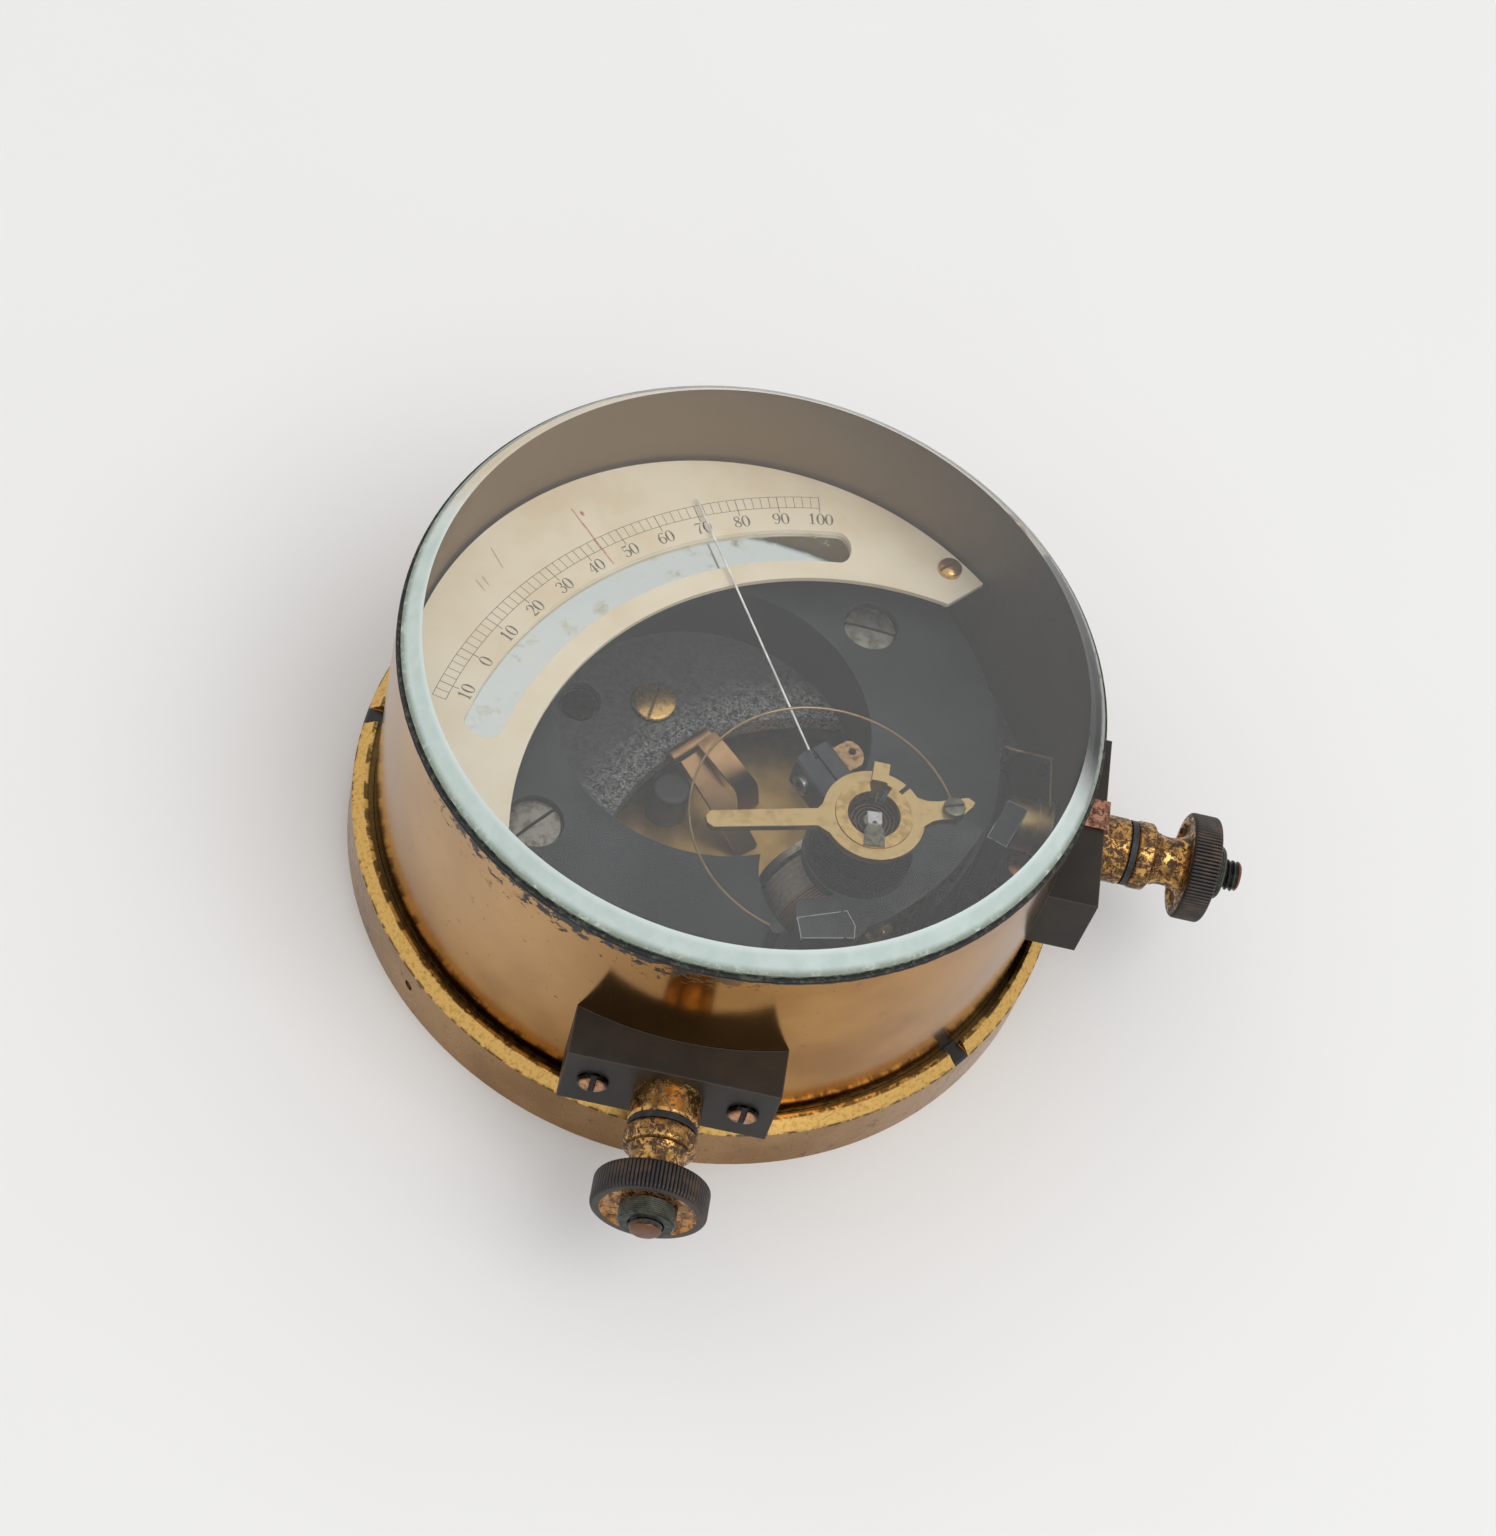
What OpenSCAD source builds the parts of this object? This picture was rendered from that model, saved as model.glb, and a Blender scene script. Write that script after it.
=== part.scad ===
// Unipivot galvanometer: a moving coil balanced on one pivot at the centre of an iron ball, in a round brass case.
// Origin: centre of the case's underside. +Z is up, -Y points to the front terminal and +X to the side terminal.

/* [Case] */
// Outside radius of the drum
case_r = 52; // [51:0.25:56]
// Thickness of the drum's wall
case_wall = 1.4; // [1:0.1:1.8]
// Height of the drum's rim above the table
rim_z = 49.4; // [48.6:0.2:54]
// How far the base ring stands out beyond the drum
base_lip = 3.3; // [2.8:0.1:5]
// Height of the base ring
base_h = 11; // [9:0.2:13]
// Height of the bevel round the base ring's top
bevel_h = 1.5; // [0.8:0.1:2.5]
// Width of the bevel round the base ring's top
bevel_w = 1.8; // [1:0.1:2]
// Height of the step in the base plate that the drum stands on
seat_z = 4.4; // [4.2:0.1:4.8]
// Height of the floor's step inside the drum
floor_t = 1.6; // [1:0.1:1.8]
// Depth of the dark groove between the base ring and the drum
groove_d = 1.2; // [0.5:0.1:2]
// Width of the two notches in the base ring's bevel
notch_w = 3; // [2:0.1:5]
// Radius of the grub screws that hold the drum in the base ring
grub_r = 0.8; // [0.5:0.05:1.2]

/* [Glass] */
// Thickness of the cover glass
glass_t = 3; // [2:0.1:4]
// How far the glass edge stays inside the drum's outside
glass_inset = 0.6; // [0.4:0.05:0.9]
// Width of the bevel ground round the top of the glass
glass_bevel_w = 2.8; // [1:0.1:5]
// Height of the upright edge left below the bevel
glass_edge_h = 0.6; // [0.3:0.1:1.2]
// Thickness of the ring of black cement under the glass
cement_t = 0.4; // [0.2:0.05:0.8]

/* [Terminals] */
// Height of the terminals' axis
terminal_z = 23.5; // [22.5:0.25:25]
// Width of an ebonite block
block_w = 30.4; // [27:0.2:34]
// Height of an ebonite block
block_h = 13; // [11:0.2:15]
// How far a block's flat face stands out beyond the drum
block_out = 5.5; // [4:0.1:7]
// Distance of a block's screws from the terminal's axis
block_screw_y = 10.8; // [9.5:0.1:12]
// Radius of a block screw's head
block_head_r = 2.3; // [1.9:0.05:2.6]
// Radius of a terminal stud
stud_r = 2.38; // [2:0.02:2.6]
// Length of the front stud beyond its block
front_stud_out = 21.15; // [20.5:0.05:24]
// Length of the side stud beyond its block
side_stud_out = 23; // [20.5:0.1:24]
// Length of a stud inside the drum
stud_in = 7.4; // [6:0.1:8]
// Radius of a collar
collar_r = 5.1; // [4.6:0.05:5.8]
// Length of a collar
collar_l = 4.9; // [4:0.1:6]
// Thickness of a black washer
washer_t = 0.9; // [0.6:0.05:1.4]
// Radius of a nut's flange
flange_r = 5.2; // [4.8:0.05:6]
// Length of a nut's flange
flange_l = 3; // [2:0.1:3.6]
// Radius of a nut's waist
waist_r = 3.7; // [3.3:0.05:4.2]
// Length of a nut's waist
waist_l = 4.9; // [4:0.1:5.4]
// Radius of a nut's knurled head
head_r = 8.19; // [7:0.05:9]
// Length of a nut's knurled head
head_l = 4.4; // [3.6:0.1:5]
// Radius of the boss on a nut's face
boss_r = 4.05; // [3.6:0.05:4.6]
// How far a nut's boss stands out of its head
boss_l = 1.9; // [0.6:0.1:2.4]

/* [Dial] */
// Height of the scale plate's face
scale_z = 32.5; // [32:0.1:33]
// Thickness of the scale plate
scale_t = 0.8; // [0.5:0.05:1.2]
// Radius of the scale plate's inner edge about the pivot
scale_in_r = 50.6; // [49:0.1:52]
// Middle radius of the mirror slot about the pivot
slot_r = 57.25; // [56.5:0.05:57.6]
// Width of the mirror slot
slot_w = 5.9; // [4:0.1:6.4]
// Thickness of the mirror
mirror_t = 0.6; // [0.4:0.05:1]
// Radius of the pillars that carry the scale plate
pillar_r = 1.5; // [1:0.05:1.6]
// Length of the pointer from the pivot's axis
pointer_l = 67.2; // [65:0.1:67.6]
// Height of the pointer
pointer_z = 33.3; // [33.2:0.05:33.5]
// Radius of the pointer
pointer_r = 0.17; // [0.1:0.01:0.25]
// Direction of the pointer at rest
pointer_az = 119.2; // [104:0.2:168]

/* [Magnet] */
// Distance of the pivot from the middle of the case
pivot_d = 27.44; // [27:0.02:28]
// Direction of the pivot from the middle of the case
pivot_az = -42.68; // [-44:0.02:-41]
// Direction from the pivot along the line of symmetry
symmetry_az = 135.7; // [134.5:0.1:137]
// Distance of the magnet's middle from the pivot
magnet_d = 33.07; // [32.5:0.05:33.5]
// Outside radius of the magnet
magnet_r = 44.5; // [43:0.1:44.8]
// Radius of the magnet's opening
opening_r = 24.4; // [23:0.1:26]
// Radius of the bore between the poles
bore_r = 13.3; // [12.8:0.05:13.8]
// Height of the magnet's underside
magnet_z = 14.8; // [13:0.1:15.4]
// Thickness of the magnet
magnet_t = 12.2; // [11:0.1:12.4]
// Radius of a magnet screw's head
magnet_head_r = 4.1; // [3.4:0.05:4.5]
// Thickness of the casting that the magnet lies on
casting_t = 3; // [2:0.1:4]
// Radius of the casting's inner edge about the pivot
casting_in_r = 36.5; // [35:0.1:38]
// Radius of the casting's feet
foot_r = 4; // [3:0.1:4.5]

/* [Moving coil] */
// Height of the iron ball's centre
coil_z = 21.5; // [21.2:0.05:21.7]
// Radius of the iron ball
ball_r = 7.6; // [7:0.05:7.9]
// Outside radius of the coil
coil_r = 11; // [10.4:0.05:11.1]
// Inside radius of the coil
coil_in_r = 8.6; // [8.4:0.05:9]
// Wall of the coil's copper former
former_t = 0.4; // [0.25:0.05:0.6]
// Radius of the pivot's staff
staff_r = 0.4; // [0.3:0.02:0.5]
// Radius of the horizontal stem that holds the ball
stem_r = 2; // [1.6:0.05:2.4]
// Turns of the hairspring
spring_turns = 3.5; // [2.5:0.5:3.5]

/* [Zero adjuster] */
// Height of the adjuster ring's face
ring_z = 44.8; // [44:0.1:45.2]
// Thickness of the adjuster ring
ring_t = 1.2; // [0.8:0.05:1.6]
// Outside radius of the adjuster ring
ring_r = 7.4; // [7:0.05:7.8]
// Outside radius of the split bush that the ring turns on
bush_r = 5.6; // [5.2:0.05:5.9]
// Inside radius of the split bush
bush_in_r = 3.85; // [3.7:0.05:4.1]
// Reach of the long arm from the pivot's axis
long_arm = 24.3; // [20:0.1:25.5]
// Radius of the loop of lead wire
loop_r = 19.4; // [18.6:0.1:19.8]
// Radius of the lead wires
wire_r = 0.2; // [0.15:0.01:0.4]
// Thickness of the bridge over the coil
bridge_t = 1.6; // [1.2:0.05:2]

/* [Hidden] */
$fn = 64;

// A whisker that keeps cutting shapes clear of the faces they cut
eps = 0.01;
// Radial clearance of a shaft in its hole
running = 0.05;
// Gap left between neighbours that don't touch
clear_gap = 0.3;
// Gap between an outer part and the drum's inside
wall_gap = 0.4;

base_r = case_r + base_lip;
drum_in = case_r - case_wall;
drum_bore = case_r + running;
groove_r = case_r + base_lip - bevel_w - 0.6;
floor_z = seat_z + floor_t;
notch_az = [-37.8, 176.2];
notch_d = 1.2;
grub_az = [-15.3, 104.7, 224.7];
grub_z = seat_z + grub_r + 0.4;

glass_z = rim_z + cement_t;
glass_r = case_r - glass_inset;
cement_inset = 0.1;

front_az = -90;
side_az = 0;
block_face = case_r + block_out;
block_back = 6;
spigot_r = stud_r + 0.92;
block_shank_r = 1.2;
block_head_h = 1;
block_cut = 0.9;
slot_cut = 0.5;
collar_end = block_face + collar_l;
washer_end = collar_end + washer_t;
stud_tip_r = 0.8;
inner_nut_r = 4;
inner_nut_l = 4.4;
inner_washer_r = 4.3;
inner_washer_l = 2.2;
insulator_t = 0.4;
insulator_r = inner_washer_r + 0.4;
insulator_x = drum_in - 0.3 - insulator_t;
strip_w = 5.2;
strip_y = 1;
strip_t = 0.5;
strip_drop = 5.9;

pivot = [pivot_d * cos(pivot_az), pivot_d * sin(pivot_az)];
magnet_c = pivot + magnet_d * [cos(symmetry_az), sin(symmetry_az)];
magnet_top = magnet_z + magnet_t;
magnet_clip_r = drum_in - 1.2;
casting_z = magnet_z - casting_t;
magnet_screw_r = 46.65;
magnet_screw_az = [92.4, 182.2];
magnet_shank_r = 1.9;
sink_r = magnet_head_r + clear_gap;
sink_d = 2.6;
magnet_head_h = 1.9;
casting_screw_at = [[-12.2, 13.0], [-23.5, 10.5]];
casting_head_r = [3.45, 2.7];
casting_head_h = 1.4;
casting_sink_r = 3.5;
casting_sink_d = 1.8;

scale_r = drum_in - 0.6;
scale_under = scale_z - scale_t;
scale_mid_az = 135.5;
scale_half_az = 88.3;
slot_az = [99.1, 170.3];
slot_cap = 2.1;
slot_c = pivot + 0.75 * [cos(227), sin(227)];
mirror_margin = 0.8;
mirror_z = scale_under - mirror_t;
pillar_edge = [2.6, 4.2];
pillar_az = [53.14, 218];
pillar_at = [for (i = [0, 1]) (scale_r - pillar_edge[i]) * [cos(pillar_az[i]), sin(pillar_az[i])]];
scale_head_r = 1.9;
scale_shank_r = 0.9;
scale_screw_h = 1.4;
scale_screw_l = 8;

core_az = symmetry_az + 180;
bridge_z = coil_z + coil_r + clear_gap;
bridge_top = bridge_z + bridge_t;
bush_top = ring_z + 0.2;
bush_flange_r = bush_r + 2.1;
bush_flange_h = 1.6;
bush_gap_az = 86;
bush_gap = 36;
bridge_boss_r = 8.2;
lug_h = 1;
bracket_gap = 2.16;
stem_end = drum_in - pivot_d - bracket_gap;
bracket_t = 4;
bracket_w = 7;
bracket_x = stem_end - bracket_t;
ball_bore_r = 1.6;
jewel_d = 1.5;
jewel_rise = 0.6;
collet_r = 1.2;
collet_h = 1.4;
collet_z = 42;
staff_top = ring_z - clear_gap;

rear_x = -4.6;
plate_t = 0.8;
winding_x = rear_x + plate_t;
wrap_x = -1.2;
wrap_end = 4;
ring_x = 4.8;
ring_end = 6;
bracket_bar_w = 3;
block_turn = 13.3;
block_at = [14.8, 0.3];
block_rear = -4.3;
block_front = 3.7;
block_right = -4.5;
block_left = 1.9;
block_groove = -1.35;
block_low = magnet_top + 0.6;
block_high = pointer_z + 0.9;
pointer_seat = 0.25;
pointer_from = 16.8;
balance_at = [0.4, 31.3];
balance_r = 1.6;
tail_end = -12;
tail_z = coil_z + coil_r - 1.6;
tail_rod_r = 0.5;
tail_weight_r = 1.5;

adjuster_bore = bush_r + running;
ring_low = ring_z - ring_t;
adjuster_az_long = 196;
adjuster_az_short = 20.5;
adjuster_stud_az = 18.8;
adjuster_stud_d = 11.9;
adjuster_stud_r = 1.6;
short_arm = 15.4;
tab_az = 89;
tab_w = 2.3;
tab_reach = 8.8;
tab_drop = 3.5;
tab_rise = 0.5;
tab_leg_t = 0.7;
spring_t = 0.12;
spring_h = 0.8;
spring_z = 42.3;
spring_in = collet_r + 0.2;
spring_out = bush_in_r - 0.4;

adjuster_stud_at = pivot + adjuster_stud_d * [cos(adjuster_stud_az), sin(adjuster_stud_az)];
loop_z = ring_z + wire_r + running;
loop_start_az = 21.1;
loop_end_az = 256.5;
loop_c = adjuster_stud_at - loop_r * [cos(loop_start_az), sin(loop_start_az)];
loop_stop = (adjuster_stud_r + running) / loop_r * 180 / PI;
post_r = 0.9;
post_at = loop_c + loop_r * [cos(loop_end_az), sin(loop_end_az)];
post_stop = (post_r + running) / loop_r * 180 / PI;

inner_block_l = 7.8;
inner_block_t = 3.3;
inner_block_top = 29.2;
inner_block_az = -10.8;
inner_block_turn = -20;
ledge_top = 18.4;
ledge_screw_at = [drum_in - 3.4, -4.7];
ledge_screw_r = 2.2;
ledge_screw_h = 1.4;
ledge_screw_l = 5.5;
ledge_shank_r = 1;
ledge_w = 6.4;
ledge_half = 3.6;
post_gap = 2.4;
foot_w = 4;
foot_h = 5;
side_lead_r = 0.25;
bend_swell = 0.31;
lead_at = [
    [41.3, 9.6, floor_z], [41.3, 9.6, 28.7], [48.4, 9.4, 28.7], [48.9, 0, 28.7],
    [48.9, 0, terminal_z + inner_washer_r]
];

// Walks an arc of radius r about c from angle a to angle b in n steps
function arc(c, r, a, b, n) = [for (i = [0:n]) c + r * [cos(a + (b - a) * i / n), sin(a + (b - a) * i / n)]];

module ring(r_out, r_in, h) {
    difference() {
        cylinder(r = r_out, h = h);
        translate([0, 0, -eps]) cylinder(r = r_in, h = h + 2 * eps);
    }
}

// Stands children that are drawn along +Z out along a terminal's axis
module terminal(az, x = 0) {
    rotate([0, 0, az]) translate([x, 0, terminal_z]) rotate([0, 90, 0]) children();
}

module both_terminals(x = 0) {
    for (az = [front_az, side_az]) terminal(az, x) children();
}

// Copies children drawn for the side terminal across to the front one
module front_copy() {
    mirror([1, 1, 0]) children();
}

module at_pivot() {
    translate([pivot[0], pivot[1], 0]) children();
}

// Frame of the moving coil: +X along the pointer, at the coil's height
module coil_frame() {
    at_pivot() translate([0, 0, coil_z]) rotate([0, 0, pointer_az]) children();
}

// A slotted round screw with its head's underside at z 0 and its shank below
module slotted_screw(head, head_h, shank, shank_l, slot_az, dome = 0.3, cut = slot_cut) {
    difference() {
        union() {
            rotate_extrude() polygon(concat(
                [[0, 0], [head, 0], [head, head_h - dome]],
                [for (i = [1:6]) [head * cos(15 * i), head_h - dome + dome * sin(15 * i)]]
            ));
            translate([0, 0, -shank_l]) cylinder(r = shank, h = shank_l + eps);
        }
        rotate([0, 0, slot_az]) translate([-head - 1, -cut / 2, head_h * 0.4])
            cube([2 * head + 2, cut, head_h]);
    }
}

module base_ring() {
    color("goldenrod") difference() {
        rotate_extrude() polygon([
            [drum_bore, 0], [base_r, 0], [base_r, base_h - bevel_h], [base_r - bevel_w, base_h],
            [groove_r, base_h], [groove_r, base_h - groove_d], [drum_bore, base_h - groove_d]
        ]);
        for (a = notch_az) rotate([0, 0, a]) translate([groove_r - eps, -notch_w / 2, base_h - notch_d])
            cube([base_lip + bevel_w, notch_w, notch_d + 1]);
        for (a = grub_az) rotate([0, 0, a]) translate([case_r - 1, 0, grub_z]) rotate([0, 90, 0])
            cylinder(r = grub_r + running, h = base_lip + 2);
    }
}

// Turned plate whose step carries the drum and whose top is the brass floor inside
module base_plate() {
    color("darkgoldenrod") rotate_extrude() polygon([
        [0, 0], [case_r, 0], [case_r, seat_z], [drum_in - running, seat_z], [drum_in - running, floor_z], [0, floor_z]
    ]);
}

module base_grub_screws() {
    color("saddlebrown") for (a = grub_az) rotate([0, 0, a]) translate([case_r + running, 0, grub_z])
        rotate([0, 90, 0]) cylinder(r = grub_r, h = base_lip - 0.3);
}

module drum_case() {
    color("darkgoldenrod") difference() {
        translate([0, 0, seat_z]) ring(case_r, drum_in, rim_z - seat_z);
        both_terminals(drum_in - 2) cylinder(r = spigot_r + running, h = case_wall + 4);
        for (s = [-1, 1]) both_terminals(drum_in - 4) translate([0, s * block_screw_y, 0])
            cylinder(r = block_shank_r + running, h = case_wall + 4);
    }
}

module glass_cement() {
    color("black") translate([0, 0, rim_z]) ring(case_r - cement_inset, drum_in + cement_inset, cement_t);
}

module cover_glass() {
    color([0.8, 0.9, 0.88, 0.3]) translate([0, 0, glass_z]) rotate_extrude() polygon([
        [0, 0], [glass_r, 0], [glass_r, glass_edge_h], [glass_r - glass_bevel_w, glass_t], [0, glass_t]
    ]);
}

module terminal_block(az) {
    color("dimgray") difference() {
        union() {
            difference() {
                rotate([0, 0, az]) translate([case_r - block_back, -block_w / 2, terminal_z - block_h / 2])
                    cube([block_out + block_back, block_w, block_h]);
                cylinder(r = case_r + running, h = rim_z);
            }
            terminal(az, drum_in - 0.1) cylinder(r = spigot_r, h = case_wall + 1);
        }
        terminal(az, drum_in - 2) cylinder(r = stud_r + running, h = block_out + case_wall + 4);
        for (s = [-1, 1]) terminal(az, drum_in - 4) translate([0, s * block_screw_y, 0])
            cylinder(r = block_shank_r + running, h = block_out + case_wall + 8);
    }
}

module front_terminal_block() {
    terminal_block(front_az);
}

module side_terminal_block() {
    terminal_block(side_az);
}

module terminal_block_screws() {
    color("peru") for (az = [front_az, side_az], s = [-1, 1])
        terminal(az, block_face) translate([0, s * block_screw_y, 0])
            slotted_screw(block_head_r, block_head_h, block_shank_r, block_out + case_wall + 3, 0, 0.6, block_cut);
}

// A stud drawn along +Z, with a rounded tip
module stud(length) {
    rotate_extrude() polygon(concat(
        [[0, 0], [stud_r, 0]],
        arc([stud_r - stud_tip_r, length - stud_tip_r], stud_tip_r, 0, 90, 8),
        [[0, length]]
    ));
}

module front_terminal_stud() {
    color("darkslategray") terminal(front_az, drum_in - stud_in)
        stud(stud_in + case_wall + block_out + front_stud_out);
}

module side_terminal_stud() {
    color("darkslategray") terminal(side_az, drum_in - stud_in)
        stud(stud_in + case_wall + block_out + side_stud_out);
}

// A turned collar with one rounded edge, drawn along +Z
module collar() {
    collar_round = 0.7;
    rotate_extrude() polygon(concat(
        [[stud_r + running, 0], [collar_r, 0]],
        arc([collar_r - collar_round, collar_l - collar_round], collar_round, 0, 90, 6),
        [[stud_r + running, collar_l]]
    ));
}

module front_terminal_collar() {
    color("peru") terminal(front_az, block_face) collar();
}

module side_terminal_collar() {
    color("peru") terminal(side_az, block_face) collar();
}

module front_terminal_washer() {
    color("black") terminal(front_az, collar_end) ring(collar_r - 0.1, stud_r + running, washer_t);
}

module side_terminal_washer() {
    color("black") terminal(side_az, collar_end) ring(collar_r - 0.1, stud_r + running, washer_t);
}

// A waisted nut with a dished round head and a boss on its face, drawn along +Z
module nut() {
    boss_round = 0.3;
    flange_round = 0.7;
    head_round = 0.6;
    dish = 0.5;
    head_z = flange_l + waist_l;
    rotate_extrude() polygon(concat(
        [[stud_r + running, 0]],
        arc([flange_r - flange_round, flange_round], flange_round, -90, 0, 5),
        arc([flange_r - flange_round, flange_l - flange_round], flange_round, 0, 90, 5),
        [for (i = [0:10]) [waist_r + 0.7 * pow(1 - i / 5, 2), flange_l + waist_l * i / 10]],
        [[waist_r + 1.4, head_z + dish], [head_r - 1.6, head_z + dish], [head_r - 1.2, head_z]],
        arc([head_r - head_round, head_z + head_round], head_round, -90, 0, 4),
        arc([head_r - head_round, head_z + head_l - head_round], head_round, 0, 90, 4),
        [[head_r - 1.4, head_z + head_l], [head_r - 1.9, head_z + head_l - dish],
         [boss_r, head_z + head_l - dish], [boss_r, head_z + head_l + boss_l - boss_round],
         [boss_r - boss_round, head_z + head_l + boss_l], [stud_r + running, head_z + head_l + boss_l]]
    ));
}

module front_terminal_nut() {
    color("peru") terminal(front_az, washer_end) nut();
}

module side_terminal_nut() {
    color("peru") terminal(side_az, washer_end) nut();
}

// On each stud inside the drum, a round nut with a wider face toward the wall
module inner_stud_nuts() {
    color("goldenrod") {
        both_terminals(insulator_x - inner_washer_l) ring(inner_washer_r, stud_r + running, inner_washer_l);
        both_terminals(insulator_x - inner_washer_l - inner_nut_l)
            ring(inner_nut_r, stud_r + running, inner_nut_l);
    }
}

module inner_insulators() {
    color("black") both_terminals(insulator_x) ring(insulator_r, stud_r + running, insulator_t);
}

// A copper strip along the top of the side block, bent down its outer face
module earthing_strip() {
    color("sienna") rotate([0, 0, side_az]) {
        difference() {
            translate([case_r - 4, strip_y - strip_w / 2, terminal_z + block_h / 2])
                cube([block_out + 4, strip_w, strip_t]);
            cylinder(r = case_r + running, h = rim_z);
        }
        difference() {
            translate([block_face, strip_y - strip_w / 2, terminal_z + block_h / 2 - strip_drop + collar_r])
                cube([strip_t, strip_w, strip_drop - collar_r + strip_t]);
            translate([block_face - 1, 0, terminal_z]) rotate([0, 90, 0]) cylinder(r = collar_r + running, h = 4);
        }
    }
}

// Side block inside the drum: an upright post beside the magnet, joined by a foot to a low ledge near the wall
module inner_block() {
    from = magnet_c + (magnet_r + post_gap) * [cos(inner_block_az), sin(inner_block_az)];
    way = ledge_screw_at - from;
    across = foot_w / 2 / norm(way) * [-way[1], way[0]];
    difference() {
        intersection() {
            union() {
                translate([from[0], from[1], floor_z]) rotate([0, 0, inner_block_turn])
                    translate([-inner_block_t / 2, -inner_block_l / 2, 0])
                    cube([inner_block_t, inner_block_l, inner_block_top - floor_z]);
                translate([ledge_screw_at[0] - ledge_half, ledge_screw_at[1] - ledge_w / 2, floor_z])
                    cube([case_r, ledge_w, ledge_top - floor_z]);
                translate([0, 0, floor_z]) linear_extrude(foot_h)
                    polygon([from + across, ledge_screw_at + across, ledge_screw_at - across, from - across]);
            }
            cylinder(r = drum_in - wall_gap, h = rim_z);
        }
        translate([magnet_c[0], magnet_c[1], 0]) cylinder(r = magnet_r + running, h = rim_z);
        terminal(side_az, drum_in - stud_in - 1) cylinder(r = inner_nut_r + clear_gap, h = stud_in + 1);
        translate([ledge_screw_at[0], ledge_screw_at[1], ledge_top - ledge_screw_l - clear_gap])
            cylinder(r = ledge_shank_r + running, h = ledge_screw_l + 1);
        translate([ledge_screw_at[0], ledge_screw_at[1], ledge_top])
            cylinder(r = ledge_screw_r + clear_gap, h = inner_block_top);
    }
}

module side_inner_block() {
    color("dimgray") inner_block();
}

module front_inner_block() {
    color("dimgray") front_copy() inner_block();
}

module inner_block_screw() {
    translate([ledge_screw_at[0], ledge_screw_at[1], ledge_top])
        slotted_screw(ledge_screw_r, ledge_screw_h, ledge_shank_r, ledge_screw_l, 8);
}

module inner_block_screws() {
    color("peru") {
        inner_block_screw();
        front_copy() inner_block_screw();
    }
}

// Stiff wire from the floor beside the magnet up and over to the side terminal's inner nut
module side_lead() {
    last = len(lead_at) - 2;
    color("goldenrod") for (i = [0:last]) {
        v = lead_at[i + 1] - lead_at[i];
        before = i == 0 ? 0 : bend_swell;
        after = i == last ? 0 : bend_swell;
        translate(lead_at[i]) rotate([0, acos(v[2] / norm(v)), atan2(v[1], v[0])]) translate([0, 0, -before])
            cylinder(r = side_lead_r, h = norm(v) + before + after);
    }
}

// Insulated column on the floor, under the loop wire's fixed end
module lead_post() {
    color("black") translate([post_at[0], post_at[1], floor_z]) cylinder(r = post_r, h = loop_z + wire_r - floor_z);
}

// Level loop of wire from the adjuster's stud round to the lead post
module loop_lead() {
    color("goldenrod") translate([loop_c[0], loop_c[1], loop_z])
        rotate([0, 0, loop_start_az + loop_stop])
        rotate_extrude(angle = loop_end_az - loop_start_az - loop_stop - post_stop)
        translate([loop_r, 0]) circle(r = wire_r, $fn = 16);
}

module casting() {
    color("#2b2b2d") difference() {
        union() {
            intersection() {
                translate([0, 0, casting_z]) difference() {
                    cylinder(r = drum_in - wall_gap, h = casting_t);
                    translate([pivot[0], pivot[1], -1]) cylinder(r = casting_in_r, h = casting_t + 2);
                }
                at_pivot() rotate([0, 0, symmetry_az]) translate([8, -80, 0]) cube([90, 160, rim_z]);
            }
            for (a = magnet_screw_az) at_pivot() rotate([0, 0, a]) translate([magnet_screw_r, 0, floor_z])
                cylinder(r = foot_r, h = casting_z - floor_z + eps);
            translate([casting_screw_at[0][0], casting_screw_at[0][1], floor_z])
                cylinder(r = foot_r, h = casting_z - floor_z + eps);
        }
        for (a = magnet_screw_az) at_pivot() rotate([0, 0, a]) translate([magnet_screw_r, 0, floor_z + 2])
            cylinder(r = magnet_shank_r + running, h = magnet_z);
        for (p = casting_screw_at) translate([p[0], p[1], floor_z - 1]) cylinder(r = 1.5 + running, h = magnet_z);
        translate([casting_screw_at[1][0], casting_screw_at[1][1], magnet_z - casting_sink_d])
            cylinder(r = casting_sink_r, h = casting_sink_d + 1);
    }
}

module casting_screws() {
    color("goldenrod") {
        translate([casting_screw_at[0][0], casting_screw_at[0][1], magnet_z])
            slotted_screw(casting_head_r[0], casting_head_h, 1.5, magnet_z - floor_z, 83.3, 0.4);
        translate([casting_screw_at[1][0], casting_screw_at[1][1], magnet_z - casting_sink_d])
            slotted_screw(casting_head_r[1], casting_head_h, 1.5, magnet_z - casting_sink_d - floor_z, 40);
    }
}

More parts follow.
